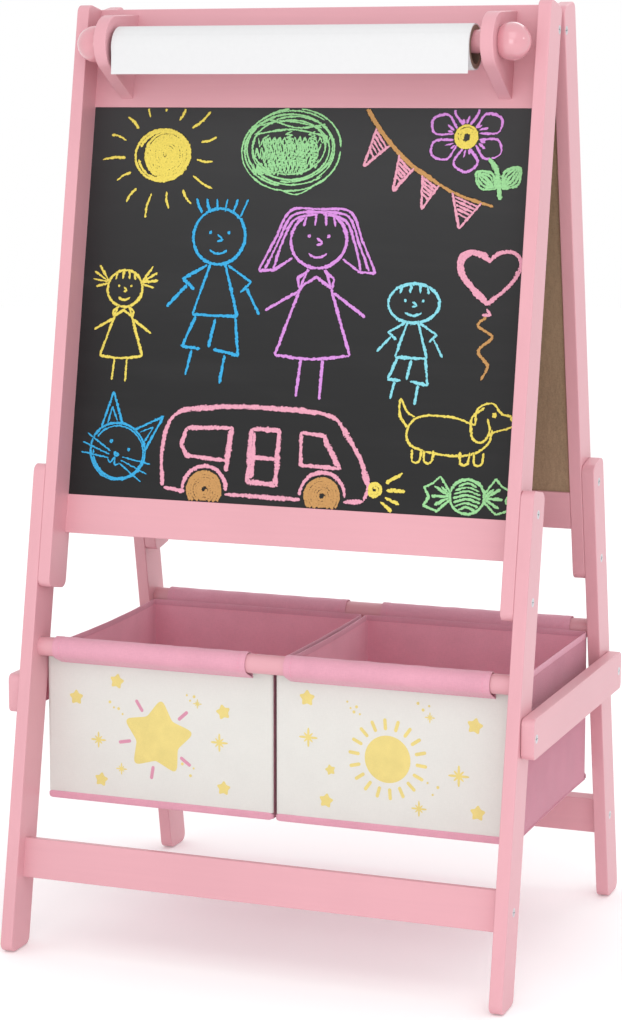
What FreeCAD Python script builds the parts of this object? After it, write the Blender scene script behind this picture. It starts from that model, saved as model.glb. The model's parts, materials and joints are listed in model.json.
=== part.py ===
# A children's double-sided easel. Two board frames on legs lean together on a pair of hinges and are
# held open by two side braces. The front has a chalkboard with a paper roll above it, the back has a
# whiteboard, and two cloth bins hang between a rod at the front and a rod at the back.
#
# Sizes are in millimetres. World frame: X to the right as seen from the chalkboard side, Y from the
# chalkboard side to the whiteboard side, Z up, origin on the floor in the middle of the four feet.
#
# Each frame is first drawn flat about the hinge pins ("board coordinates"): X along the pins, Y up
# the stiles, Z out from the pins towards the face that is drawn on. The front frame is then turned
# up to its lean, and the rear frame is the same drawing turned half round.
import FreeCAD, Part
import math
import os
from FreeCAD import Placement, Rotation, Vector

# ---- cutting shapes ---------------------------------------------------------------------------
past = 1.0                  # how far a cutting shape runs past the face that it opens

# ---- timber ----------------------------------------------------------------------------------
slat_thick = 15.0
slat_depth = 45.0
end_round = 10.0            # corners of the stiles and legs
edge_round = 1.2            # sanded edges

# ---- board frames ----------------------------------------------------------------------------
lean_deg = 10.61            # each frame's lean from upright
frame_width = 570.0         # over the stiles
pin_gap = 4.5               # hinge pin to the frame's inner plane
stile_rise = 2.4            # stile top above the pin, along the stile
stile_tail = 64.0           # stile below the bottom rail
top_rail_height = 115.0
bottom_rail_height = 45.0
rail_thick = 11.0
board_height = 454.0        # between the rails
groove_depth = 5.0
groove_fit = 0.2            # room at the bottom of the groove
back_lip = 3.0              # wood behind the board
backing_thick = 3.5
face_thick = 3.0
rail_edge_round = 0.8       # sanded edges of the rails

# ---- legs ------------------------------------------------------------------------------------
leg_length = 560.2          # along the middle of the leg
leg_lap = 142.0             # leg beside stile
lower_rail_rise = 83.0      # foot to the lower rail, along the leg
lower_rail_setback = 16.5   # behind the leg's outer edge
bin_rod_radius = 11.0
bin_rod_drop = 211.0        # below the leg's top
rod_socket = 8.0            # rod end let into the leg
socket_fit = 0.05

# ---- side braces -----------------------------------------------------------------------------
brace_height = 290.0        # middle of the brace above the floor
brace_gap = 0.3             # running gap to the legs
brace_end = 10.5            # screw to the brace's end
brace_offset = 5.5          # screw outward of the leg's middle
brace_round = 7.0

# ---- paper roll ------------------------------------------------------------------------------
bracket_inside = 444.0      # between the two brackets
bracket_top = 6.3           # bracket below the rail's top edge
bracket_height = 99.0       # where it meets the rail
bracket_nose = 32.5         # radius about the rod
bracket_round = 1.2
rod_radius = 13.0
rod_out = 52.9              # rod axis in front of the rail
rod_down = 51.5             # rod axis below the rail's top edge
rod_fit = 0.1               # radial running clearance in the brackets
knob_radius = 21.0
knob_centre = 11.8          # ball centre beyond its flat
knob_gap = 0.3              # flat to bracket
knob_socket = 8.0           # how far the rod goes in
knob_fit = 0.05
core_radius = 23.9
core_wall = 5.0
paper_radius = 25.4
wrap_gap = 0.05             # core to paper
roll_length = 426.0
roll_shift = -5.0           # roll off centre
roll_gap = 0.3              # core to rod where it hangs
tail_thick = 0.5
tail_drop = 29.0            # below the roll's middle
tail_wrap_deg = 35.0        # how far the loose end follows the roll up
tail_inset = 0.5

# ---- cloth bins ------------------------------------------------------------------------------
cloth_thick = 1.5
sleeve_room = 0.4           # rod to sleeve
sleeve_drop = 19.5          # rod axis to the seam on the bag's wall
sleeve_left_inset = 19.0
sleeve_right_inset = 23.5
bin_side_gap = 1.0          # leg to bin
bin_gap = 4.0               # between the bins
bin_rim_drop = 1.7          # rod axis to rim
bin_height = 182.0
bin_corner = 3.0            # outside radius of the upright corners

# ---- hinges ----------------------------------------------------------------------------------
hinge_place = 150.0         # each side of the middle
leaf_width = 40.0
leaf_height = 22.0
leaf_thick = 1.5
knuckle_radius = 4.0
knuckle_width = 16.0        # the middle knuckle
knuckle_gap = 0.2
pin_radius = 1.5
pin_fit = 0.05
pin_head = 1.2
pin_head_radius = 2.4
hinge_screw_pitch = 13.0
hinge_screw_drop = 15.0

# ---- screws and dowels: head radius, head depth, shank radius, length -------------------------
rail_screw = (5.0, 3.0, 2.2, 45.0)
leg_screw = (5.0, 3.0, 2.5, 27.0)
lower_screw = (5.0, 3.0, 2.5, 50.0)
bracket_screw = (4.2, 2.6, 2.0, 30.0)
hinge_screw = (2.7, 1.4, 1.3, 9.0)
brace_screw = (5.0, 3.0, 2.5, 27.0)
screw_fit = 0.05
rail_screw_drop = 27.0      # below the rail's top edge
leg_screw_top = 25.0        # below the leg's top
leg_screw_foot = 21.5       # above the stile's end
bracket_screw_top = 22.0    # below the bracket's top corner
bracket_screw_foot = 24.0   # above the bracket's tip
dowel_radius = 3.0
dowel_length = 30.0
dowel_in_stile = 10.0
dowel_fit = 0.05
insert_radius = 4.5
insert_bore = 2.6
insert_length = 12.0

# ---- worked out ------------------------------------------------------------------------------
lean = math.radians(lean_deg)
stile_outer = frame_width / 2
stile_inner = stile_outer - slat_thick
leg_outer = stile_outer + slat_thick
plane_in = pin_gap                       # inner plane of the stiles and rails
plane_out = pin_gap + slat_depth         # outer plane of the stiles
plane_mid = pin_gap + slat_depth / 2
rail_front = pin_gap + rail_thick

stile_top = stile_rise
board_top = stile_top - top_rail_height
board_foot = board_top - board_height
bottom_rail_foot = board_foot - bottom_rail_height
stile_foot = bottom_rail_foot - stile_tail
leg_top = stile_foot + leg_lap
leg_foot = leg_top - leg_length
pin_height = -(leg_foot * math.cos(lean) + plane_mid * math.sin(lean))
bin_rod_y = leg_top - bin_rod_drop
sleeve_wrap = bin_rod_radius + sleeve_room + cloth_thick

board_back = plane_in + back_lip
board_split = board_back + backing_thick
board_front = board_split + face_thick

up = Vector(0, math.sin(lean), math.cos(lean))
out = Vector(0, -math.cos(lean), math.sin(lean))
BOARD_TO_FRONT = Placement(Vector(0, 0, pin_height), Rotation(Vector(1, 0, 0), 90 - lean_deg))
HALF_TURN = Placement(Vector(0, 0, 0), Rotation(Vector(0, 0, 1), 180))
PLACES = {"front": BOARD_TO_FRONT, "rear": HALF_TURN.multiply(BOARD_TO_FRONT)}

nodes = {}


# ---- drawing helpers -------------------------------------------------------------------------
def block(x, y, z):
    """A box from three (low, high) pairs."""
    return Part.makeBox(x[1] - x[0], y[1] - y[0], z[1] - z[0], Vector(x[0], y[0], z[0]))


def span(side, near, far):
    """The X range from near to far on the right (+1) or left (-1) side."""
    return (near, far) if side > 0 else (-far, -near)


def bar(radius, x, y, z):
    """A round bar along X over the range x."""
    return Part.makeCylinder(radius, x[1] - x[0], Vector(x[0], y, z), Vector(1, 0, 0))


def rounded_outline(points, radii):
    """A closed wire through (y, z) points, each corner rounded to its own radius."""
    corners = [Vector(0, y, z) for y, z in points]
    starts, edges = [], []
    for i, corner in enumerate(corners):
        back = (corners[i - 1] - corner).normalize()
        ahead = (corners[(i + 1) % len(corners)] - corner).normalize()
        half = back.getAngle(ahead) / 2
        reach = radii[i] / math.tan(half)
        first, last = corner + back * reach, corner + ahead * reach
        if radii[i] > 0:
            middle = (back + ahead).normalize()
            near = corner + middle * (radii[i] / math.sin(half) - radii[i])
            edges.append(Part.Arc(first, near, last).toShape())
        starts.append((first, last))
    for i, (first, last) in enumerate(starts):
        after = starts[(i + 1) % len(starts)][0]
        edges.append(Part.LineSegment(last, after).toShape())
    return Part.Wire(Part.__sortEdges__(edges))


def plate(outline, x):
    """An outline in the YZ plane made solid over the X range."""
    face = Part.Face(outline)
    face.translate(Vector(x[0], 0, 0))
    return face.extrude(Vector(x[1] - x[0], 0, 0))


def rectangle(y, z):
    return [(y[0], z[0]), (y[1], z[0]), (y[1], z[1]), (y[0], z[1])]


def soften_faces(solid, radius):
    """Round the edges that lie flat in the YZ plane."""
    return solid.makeFillet(radius, [e for e in solid.Edges if e.BoundBox.XLength < 1e-6])


def soften_long(solid, radius):
    """Round the straight edges that run along X."""
    long_edges = [e for e in solid.Edges if e.BoundBox.YLength < 1e-6 and e.BoundBox.ZLength < 1e-6]
    return solid.makeFillet(radius, long_edges)


def on_board(side, x, y, z):
    """A world point from board coordinates on the front frame, or the same seen from behind."""
    point = Vector(x, 0, pin_height) + up * y + out * z
    return point if side == "front" else Vector(point.x, -point.y, point.z)


# ---- screws and dowels -----------------------------------------------------------------------
def screw(size, room=0.0):
    """A countersunk screw standing in -Z with its head flush at 0, or with room added, its hole."""
    head, depth, shank, length = size
    cone = Part.makeCone(head + room, shank + room, depth, Vector(0, 0, 0), Vector(0, 0, -1))
    body = Part.makeCylinder(shank + room, length + room, Vector(0, 0, 0), Vector(0, 0, -1))
    whole = cone.fuse(body).removeSplitter()
    if room > 0:
        return whole
    slot, arm = 0.18 * head, 0.6 * head
    cross = block((-arm, arm), (-slot / 2, slot / 2), (-depth / 2, 1))
    return whole.cut(cross).cut(cross.copy().rotate(Vector(0, 0, 0), Vector(0, 0, 1), 90))


def drive(shape, point, inward):
    """Place a screw or hole so that it goes in at point along inward."""
    moved = shape.copy()
    moved.Placement = Placement(Vector(*point), Rotation(Vector(0, 0, -1), Vector(*inward)))
    return moved


def driven(size, places):
    """The screws at (point, inward) places, as (screws, holes)."""
    screws = [drive(screw(size), *place) for place in places]
    holes = [drive(screw(size, screw_fit), *place) for place in places]
    return screws, holes


# ---- one leaning frame, in board coordinates -------------------------------------------------
rail_screw_z = plane_in + rail_thick / 2
lower_rail_z = (plane_out - lower_rail_setback - slat_thick, plane_out - lower_rail_setback)
lower_rail_y = (leg_foot + lower_rail_rise, leg_foot + lower_rail_rise + slat_depth)
bracket_y = stile_top - bracket_top
roll_rod_y = stile_top - rod_down
roll_rod_z = rail_front + rod_out
brace_z = plane_mid + brace_offset
brace_y = (brace_height - pin_height - brace_z * math.sin(lean)) / math.cos(lean)


def floor_y(z):
    """Where the floor crosses the leg at depth z."""
    return -(pin_height + z * math.sin(lean)) / math.cos(lean)


def rail_joints(side):
    """The screw and dowel places of both rails' ends on one side."""
    inward = (-side, 0, 0)
    screw_places, dowel_places = [], []
    for top, height in ((stile_top, top_rail_height), (board_foot, bottom_rail_height)):
        if height > 2 * rail_screw_drop:
            screw_y, dowel_y = top - rail_screw_drop, top - height + rail_screw_drop
        else:
            screw_y, dowel_y = top - height / 3, top - 2 * height / 3
        screw_places.append(((side * stile_outer, screw_y, rail_screw_z), inward))
        dowel_places.append(dowel_y)
    return screw_places, dowel_places


def dowel(side, y, room=0.0):
    start = stile_inner + dowel_in_stile
    x = span(side, start - dowel_length - room, start + room)
    return bar(dowel_radius + room, x, y, rail_screw_z)


def board_slot():
    """The groove that the board sits in, cut from stiles and rails alike."""
    reach = groove_depth
    x = (-stile_inner - reach, stile_inner + reach)
    return block(x, (board_foot - reach, board_top + reach), (board_back, board_front))


def board_layer(z):
    """One layer of the board, a little smaller than its groove."""
    reach = groove_depth - groove_fit
    x = (-stile_inner - reach, stile_inner + reach)
    return block(x, (board_foot - reach, board_top + reach), z)


def stile(side, holes):
    outline = rounded_outline(rectangle((stile_foot, stile_top), (plane_in, plane_out)), [end_round] * 4)
    solid = soften_faces(plate(outline, span(side, stile_inner, stile_outer)), edge_round)
    return solid.cut([board_slot()] + holes)


def leg(side, holes):
    foot_in, foot_out = (floor_y(plane_in), plane_in), (floor_y(plane_out), plane_out)
    points = [foot_in, (leg_top, plane_in), (leg_top, plane_out), foot_out]
    outline = rounded_outline(points, [end_round] * 4)
    solid = soften_faces(plate(outline, span(side, stile_outer, leg_outer)), edge_round)
    return solid.cut(holes)


def rail(y, z, holes, half=stile_inner):
    solid = soften_long(block((-half, half), y, z), rail_edge_round)
    return solid.cut(holes) if holes else solid


def bin_rod():
    reach = stile_outer + rod_socket
    return bar(bin_rod_radius, (-reach, reach), bin_rod_y, plane_mid)


def rod_socket_hole():
    reach = stile_outer + rod_socket + socket_fit
    return bar(bin_rod_radius + socket_fit, (-reach, reach), bin_rod_y, plane_mid)


def hinge_middles():
    return (-hinge_place, hinge_place)


def hinge_screw_places():
    places = []
    for middle in hinge_middles():
        for step in (-1, 0, 1):
            point = (middle + step * hinge_screw_pitch, -hinge_screw_drop, plane_in - leaf_thick)
            places.append((point, (0, 0, 1)))
    return places


def hinge_leaf(middle, knuckles, gaps, holes):
    """A leaf on the rail's inner plane, with its own knuckles and room for the other leaf's."""
    x = (middle - leaf_width / 2, middle + leaf_width / 2)
    leaf = block(x, (-leaf_height, 0), (plane_in - leaf_thick, plane_in))
    barrels = [bar(knuckle_radius, k, 0, 0) for k in knuckles]
    leaf = leaf.fuse(barrels)
    rooms = []
    for low, high in gaps:
        room_y, room_z = (-knuckle_radius, knuckle_radius + past), (-plane_in, plane_in + past)
        rooms.append(block((low, high), room_y, room_z))
    pin_hole = bar(pin_radius + pin_fit, (x[0] - past, x[1] + past), 0, 0)
    return leaf.cut(rooms + [pin_hole] + holes).removeSplitter()


def hinge_leaves(name, holes):
    """Two leaves. The front ones carry the two outer knuckles, the rear ones the middle knuckle."""
    leaves = []
    for middle in hinge_middles():
        half, inner = leaf_width / 2, knuckle_width / 2
        outer_left, outer_right = (middle - half, middle - inner), (middle + inner, middle + half)
        if name == "front":
            gap = (middle - inner - knuckle_gap, middle + inner + knuckle_gap)
            knuckles = [(outer_left[0], gap[0]), (gap[1], outer_right[1])]
            leaves.append(hinge_leaf(middle, knuckles, [gap], holes))
        else:
            gaps = [(middle - half - past, outer_left[1]), (outer_right[0], middle + half + past)]
            leaves.append(hinge_leaf(middle, [(outer_left[1], outer_right[0])], gaps, holes))
    return leaves


def hinge_pin(middle):
    reach = leaf_width / 2 + pin_fit
    pin = bar(pin_radius, (middle - reach, middle + reach), 0, 0)
    for side in (-1, 1):
        head = sorted((middle + side * reach, middle + side * (reach + pin_head)))
        pin = pin.fuse(bar(pin_head_radius, head, 0, 0))
    return pin.removeSplitter()


def put(name, node, shapes):
    """Store shapes drawn in board coordinates as one node of the front or rear frame."""
    placed = []
    for shape in shapes if isinstance(shapes, list) else [shapes]:
        copy = shape.copy()
        copy.Placement = PLACES[name].multiply(copy.Placement)
        placed.append(copy)
    nodes[node] = placed[0] if len(placed) == 1 else Part.makeCompound(placed)


def bracket_screw_places():
    middle = bracket_inside / 2 + slat_thick / 2
    rows = (bracket_y - bracket_screw_top, bracket_y - bracket_height + bracket_screw_foot)
    return [((side * middle, y, plane_in), (0, 0, 1)) for side in (-1, 1) for y in rows]


def build_frame(name):
    """All the pieces that the front and the rear frame have in common."""
    half_turned = -1 if name == "rear" else 1
    rail_screws, dowels, leg_screws, lower_screws = [], [], [], []
    rail_holes, lower_rail_holes = [], []
    for side in (-1, 1):
        inward = (-side, 0, 0)
        screw_places, dowel_rows = rail_joints(side)
        screws, rail_screw_holes = driven(rail_screw, screw_places)
        rail_screws += screws
        dowels += [dowel(side, y) for y in dowel_rows]
        joint_holes = rail_screw_holes + [dowel(side, y, dowel_fit) for y in dowel_rows]
        rail_holes += joint_holes

        leg_rows = (leg_top - leg_screw_top, stile_foot + leg_screw_foot)
        leg_places = [((side * leg_outer, y, plane_mid), inward) for y in leg_rows]
        screws, leg_holes = driven(leg_screw, leg_places)
        leg_screws += screws

        lower_place = ((side * leg_outer, sum(lower_rail_y) / 2, sum(lower_rail_z) / 2), inward)
        screws, lower_holes = driven(lower_screw, [lower_place])
        lower_screws += screws
        lower_rail_holes += lower_holes

        hand = "right" if side * half_turned > 0 else "left"
        put(name, f"{name}_{hand}_stile", stile(side, joint_holes + leg_holes))
        leg_cuts = leg_holes + lower_holes + [rod_socket_hole(), brace_hole(name, side)]
        put(name, f"{name}_{hand}_leg", leg(side, leg_cuts))

    hinge_screws, hinge_holes = driven(hinge_screw, hinge_screw_places())
    top_holes = rail_holes + [board_slot()] + hinge_holes
    if name == "front":
        top_holes += driven(bracket_screw, bracket_screw_places())[1]
    put(name, f"{name}_top_rail", rail((board_top, stile_top), (plane_in, rail_front), top_holes))
    bottom_y = (bottom_rail_foot, board_foot)
    bottom_holes = rail_holes + [board_slot()]
    put(name, f"{name}_bottom_rail", rail(bottom_y, (plane_in, rail_front), bottom_holes))
    lower_rail = rail(lower_rail_y, lower_rail_z, lower_rail_holes, stile_outer)
    put(name, f"{name}_lower_rail", lower_rail)

    face = "chalkboard" if name == "front" else "whiteboard"
    put(name, face, board_layer((board_split, board_front)))
    put(name, f"{name}_backing_board", board_layer((board_back, board_split)))
    put(name, f"{name}_bin_rod", bin_rod())
    put(name, f"{name}_hinge_leaves", hinge_leaves(name, hinge_holes))
    put(name, f"{name}_hinge_screws", hinge_screws)
    put(name, f"{name}_rail_screws", rail_screws)
    put(name, f"{name}_rail_dowels", dowels)
    put(name, f"{name}_leg_screws", leg_screws)
    put(name, f"{name}_lower_rail_screws", lower_screws)


# ---- braces ----------------------------------------------------------------------------------
def brace_hole(name, side):
    """In a front leg the brace screw's hole, in a rear leg the hole for its threaded insert."""
    if name == "front":
        point = (side * (leg_outer + brace_gap + slat_thick), brace_y, brace_z)
        return drive(screw(brace_screw, screw_fit), point, (-side, 0, 0))
    x = span(side, leg_outer - insert_length - screw_fit, leg_outer + past)
    return bar(insert_radius + screw_fit, x, brace_y, brace_z)


def brace_insert(side):
    x = span(side, leg_outer - insert_length, leg_outer)
    insert = bar(insert_radius, x, brace_y, brace_z)
    return insert.cut(bar(insert_bore, x, brace_y, brace_z))


def build_braces():
    pivot = on_board("front", 0, brace_y, brace_z)
    reach = abs(pivot.y) + brace_end
    outer = leg_outer + brace_gap + slat_thick
    z = (brace_height - slat_depth / 2, brace_height + slat_depth / 2)
    front_screws = []
    for side, hand in ((-1, "left"), (1, "right")):
        x = span(side, leg_outer + brace_gap, outer)
        outline = rounded_outline(rectangle((-reach, reach), z), [brace_round] * 4)
        inward = (-side, 0, 0)
        front = (side * outer, pivot.y, brace_height)
        rear = (side * outer, -pivot.y, brace_height)
        short_screw = brace_screw[:3] + (slat_thick,)
        rear_hole = drive(screw(short_screw[:3] + (slat_thick + past,), screw_fit), rear, inward)
        front_hole = drive(screw(brace_screw, screw_fit), front, inward)
        brace = soften_faces(plate(outline, x), edge_round)
        nodes[f"{hand}_brace"] = brace.cut([front_hole, rear_hole])
        nodes[f"{hand}_brace_rear_screw"] = drive(screw(short_screw), rear, inward)
        front_screws.append(drive(screw(brace_screw), front, inward))
    nodes["front_brace_screws"] = Part.makeCompound(front_screws)
    put("rear", "rear_brace_inserts", [brace_insert(-1), brace_insert(1)])


# ---- paper roll ------------------------------------------------------------------------------
def tangent_point(corner, centre, radius, turn):
    """Where a line from corner touches the circle, on the side given by turn."""
    gap = Vector(0, corner[0] - centre[0], corner[1] - centre[1])
    swing = turn * math.acos(radius / gap.Length)
    angle = math.atan2(gap.z, gap.y) + swing
    return centre[0] + radius * math.cos(angle), centre[1] + radius * math.sin(angle)


def roll_bracket(side, holes):
    """Straight from both corners on the rail to a round nose about the rod."""
    centre = (roll_rod_y, roll_rod_z)
    top = (bracket_y, rail_front)
    tip = (bracket_y - bracket_height, rail_front)
    top_touch = tangent_point(top, centre, bracket_nose, 1)
    tip_touch = tangent_point(tip, centre, bracket_nose, -1)
    nose = (centre[0], centre[1] + bracket_nose)
    corner, touch, crown, back, end = [Vector(0, *p) for p in (top, top_touch, nose, tip_touch, tip)]
    edges = [Part.LineSegment(corner, touch), Part.Arc(touch, crown, back),
             Part.LineSegment(back, end), Part.LineSegment(end, corner)]
    outline = Part.Wire([e.toShape() for e in edges])
    solid = plate(outline, span(side, bracket_inside / 2, bracket_inside / 2 + slat_thick))
    free = [e for e in solid.Edges if e.BoundBox.XLength < 1e-6 and e.BoundBox.ZLength > 1e-6]
    solid = solid.makeFillet(bracket_round, free)
    reach = bracket_inside / 2 + slat_thick + 1
    rod_hole = bar(rod_radius + rod_fit, (-reach, reach), roll_rod_y, roll_rod_z)
    return solid.cut([rod_hole] + holes)


def knob(side, axis):
    """A ball with a flat against the bracket and a blind socket for the rod."""
    ball = Part.makeSphere(knob_radius, Vector(knob_centre, 0, 0), Vector(1, 0, 0))
    wide = 2 * knob_radius
    spare = block((-wide, 0), (-wide, wide), (-wide, wide))
    socket = bar(rod_radius + knob_fit, (-1, knob_socket + knob_fit), 0, 0)
    solid = ball.cut([spare, socket])
    if side < 0:
        solid.rotate(Vector(0, 0, 0), Vector(0, 0, 1), 180)
    flat = bracket_inside / 2 + slat_thick + knob_gap
    solid.translate(Vector(side * flat, axis.y, axis.z))
    return solid


def paper_tail(middle, x):
    """The loose end: it follows the roll's front a little way and hangs straight down from there."""
    inner = paper_radius + roll_gap
    outer = inner + tail_thick
    ring = Part.makeCylinder(outer, x[1] - x[0], Vector(x[0], middle.y, middle.z), Vector(1, 0, 0))
    ring = ring.cut(Part.makeCylinder(inner, x[1] - x[0], Vector(x[0], middle.y, middle.z), Vector(1, 0, 0)))
    reach = outer * 2
    angle = math.radians(tail_wrap_deg)
    wedge = [(0, 0), (-reach, 0), (-reach, reach * math.tan(angle))]
    corners = [Vector(x[0], middle.y + y, middle.z + z) for y, z in wedge]
    sector = Part.Face(Part.makePolygon(corners + corners[:1])).extrude(Vector(x[1] - x[0], 0, 0))
    hang = block(x, (middle.y - outer, middle.y - inner), (middle.z - tail_drop, middle.z))
    return ring.common(sector).fuse(hang).removeSplitter()


def build_roll():
    axis = on_board("front", 0, roll_rod_y, roll_rod_z)
    screws, holes = driven(bracket_screw, bracket_screw_places())
    for side, hand in ((-1, "left"), (1, "right")):
        put("front", f"{hand}_roll_bracket", roll_bracket(side, holes))
        nodes[f"{hand}_knob"] = knob(side, axis)
    put("front", "bracket_screws", screws)
    reach = bracket_inside / 2 + slat_thick + knob_gap + knob_socket
    nodes["roll_rod"] = bar(rod_radius, (-reach, reach), axis.y, axis.z)

    hang = core_radius - core_wall - rod_radius - roll_gap
    middle = Vector(0, axis.y, axis.z - hang)
    x = (roll_shift - roll_length / 2, roll_shift + roll_length / 2)
    core = bar(core_radius, x, middle.y, middle.z)
    nodes["roll_core"] = core.cut(bar(core_radius - core_wall, x, middle.y, middle.z))
    paper = bar(paper_radius, x, middle.y, middle.z)
    nodes["paper_roll"] = paper.cut(bar(core_radius + wrap_gap, x, middle.y, middle.z))
    nodes["paper_tail"] = paper_tail(middle, (x[0] + tail_inset, x[1] - tail_inset))


# ---- cloth bins ------------------------------------------------------------------------------
def taut_loop(radius, x, rod, inward):
    """What a taut cloth encloses round a rod and a seam beside it: a cylinder and a kite."""
    touch = Vector(0, inward * radius, 0)
    seam = touch + Vector(0, 0, -sleeve_drop * radius / sleeve_wrap)
    ahead = Vector(seam).normalize()
    under = ahead * (2 * ahead.dot(touch)) - touch
    kite = [rod + seam, rod + touch, rod, rod + under]
    outline = rounded_outline([(point.y, point.z) for point in kite], [0] * 4)
    return bar(radius, x, rod.y, rod.z).fuse(plate(outline, x))


def sleeve(x, rod, inward):
    """A cloth loop over the rod, sewn to the bag's wall below it."""
    return taut_loop(sleeve_wrap, x, rod, inward).cut(taut_loop(sleeve_wrap - cloth_thick, x, rod, inward))


def bag_block(x, half, z, corner):
    """A block with rounded upright edges."""
    solid = block(x, (-half, half), z)
    return solid.makeFillet(corner, [edge for edge in solid.Edges if edge.BoundBox.ZLength > 1e-6])


def bin_bag(x):
    """An open-topped bag between the rods, hung on both by its sleeves."""
    rod = on_board("front", 0, bin_rod_y, plane_mid)
    half, rim = abs(rod.y) - sleeve_wrap, rod.z - bin_rim_drop
    bag = bag_block(x, half, (rim - bin_height, rim), bin_corner)
    inside = (x[0] + cloth_thick, x[1] - cloth_thick)
    depth = (rim - bin_height + cloth_thick, rim + past)
    bag = bag.cut(bag_block(inside, half - cloth_thick, depth, bin_corner - cloth_thick))
    sewn = (x[0] + sleeve_left_inset, x[1] - sleeve_right_inset)
    rear_rod = on_board("rear", 0, bin_rod_y, plane_mid)
    return bag.fuse([sleeve(sewn, rod, 1), sleeve(sewn, rear_rod, -1)])


def build_bins():
    outer = stile_outer - bin_side_gap
    nodes["left_bin"] = bin_bag((-outer, -bin_gap / 2))
    nodes["right_bin"] = bin_bag((bin_gap / 2, outer))


# ---- build and write -------------------------------------------------------------------------
build_frame("front")
build_frame("rear")
put("front", "hinge_pins", [hinge_pin(middle) for middle in hinge_middles()])
build_braces()
build_roll()
build_bins()

os.makedirs("parts", exist_ok=True)
for node, shape in nodes.items():
    shape.exportStep(f"parts/{node}.step")
    state = "" if shape.isValid() else "  NOT VALID"
    print(f"{node}: {len(shape.Solids)} solids, {shape.Volume / 1000:.1f} cm3{state}")
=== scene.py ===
"""Finishes, cloth bins, paper and chalk drawings for a children's double-sided easel."""
import json
import math
import bmesh
import bpy
import numpy as np
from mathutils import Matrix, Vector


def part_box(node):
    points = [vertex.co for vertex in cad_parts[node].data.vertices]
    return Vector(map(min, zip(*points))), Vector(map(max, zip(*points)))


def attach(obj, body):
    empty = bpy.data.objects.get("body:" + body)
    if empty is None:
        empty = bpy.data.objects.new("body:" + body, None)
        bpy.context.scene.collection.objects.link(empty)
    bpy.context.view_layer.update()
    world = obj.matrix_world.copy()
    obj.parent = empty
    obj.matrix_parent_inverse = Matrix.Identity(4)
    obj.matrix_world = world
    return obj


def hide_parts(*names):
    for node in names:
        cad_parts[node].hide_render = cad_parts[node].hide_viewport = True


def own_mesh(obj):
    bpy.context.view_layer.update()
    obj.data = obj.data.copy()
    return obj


bl_info = {
    "name": "Kids Easel",
    "version": (1, 0, 0),
    "blender": (4, 5, 0),
    "location": "3D View > Sidebar > Easel",
    "description": "Builds the finishes, cloth bins, paper and chalk drawings of a children's easel",
    "category": "Add Mesh",
}

MM = 0.001
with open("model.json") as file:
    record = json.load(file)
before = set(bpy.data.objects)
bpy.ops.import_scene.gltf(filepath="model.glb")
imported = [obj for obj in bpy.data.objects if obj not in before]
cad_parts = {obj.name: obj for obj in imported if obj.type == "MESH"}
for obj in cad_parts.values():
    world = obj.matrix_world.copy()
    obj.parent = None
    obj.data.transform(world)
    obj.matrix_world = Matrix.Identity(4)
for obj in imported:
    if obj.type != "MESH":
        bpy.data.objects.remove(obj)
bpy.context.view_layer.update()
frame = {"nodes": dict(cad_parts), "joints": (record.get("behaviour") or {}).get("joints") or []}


# ---- places read from the frame --------------------------------------------------------------
def node_box(node):
    """Lowest and highest corner of a CAD node as arrays."""
    low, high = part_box(node)
    return np.array(low, float), np.array(high, float)


def bar_axis(node):
    """Depth, height and radius of a round bar that runs along X."""
    low, high = node_box(node)
    middle = (low + high) / 2
    return middle[1], middle[2], (high[2] - low[2]) / 2


def frame_lean():
    """The front frame's lean: its two rails differ only in height, so their boxes differ along it."""
    top_low, top_high = node_box("front_top_rail")
    low, high = node_box("front_bottom_rail")
    taller = (top_high - top_low) - (high - low)
    return math.atan2(taller[1], taller[2])


FOLD = next(joint for joint in frame["joints"] if joint["name"] == "fold")
PIN = np.array(FOLD["pos_m"], float)
LEAN = frame_lean()
UP = np.array([0.0, math.sin(LEAN), math.cos(LEAN)])
OUT = np.array([0.0, -math.cos(LEAN), math.sin(LEAN)])
SIDEWAYS = np.array([1.0, 0.0, 0.0])


def board_section(node):
    """Foot, top, back and front of a front-frame slat, measured along UP and OUT from the hinge pin."""
    low, high = node_box(node)
    sine, cosine = math.sin(LEAN), math.cos(LEAN)
    rows = [[sine, 0, 0, -cosine], [cosine, 0, sine, 0], [0, sine, -cosine, 0], [0, cosine, 0, sine]]
    return np.linalg.solve(rows, [low[1], low[2] - PIN[2], high[1], high[2] - PIN[2]])


def chalk_face():
    """Left edge, right edge, top and face of the writing area, along X, UP and OUT."""
    top = board_section("front_top_rail")[0]
    face = board_section("chalkboard")[3]
    left = node_box("front_left_stile")[1][0]
    right = node_box("front_right_stile")[0][0]
    return left, right, top, face


# ---- sizes and colours -----------------------------------------------------------------------
def linear(red, green, blue):
    """Scene-linear colour of a display colour from 0 to 255."""
    shown = np.array([red, green, blue]) / 255
    light = np.where(shown <= 0.04045, shown / 12.92, ((shown + 0.055) / 1.055) ** 2.4)
    return tuple(float(part) for part in light)


def tint(name, description, red, green, blue):
    colour = linear(red, green, blue)
    return bpy.props.FloatVectorProperty(
        name=name, description=description, default=colour, subtype="COLOR", min=0, max=1)


def size(name, description, millimetres):
    return bpy.props.FloatProperty(
        name=name, description=description, default=millimetres * MM, unit="LENGTH", precision=4)


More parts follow.
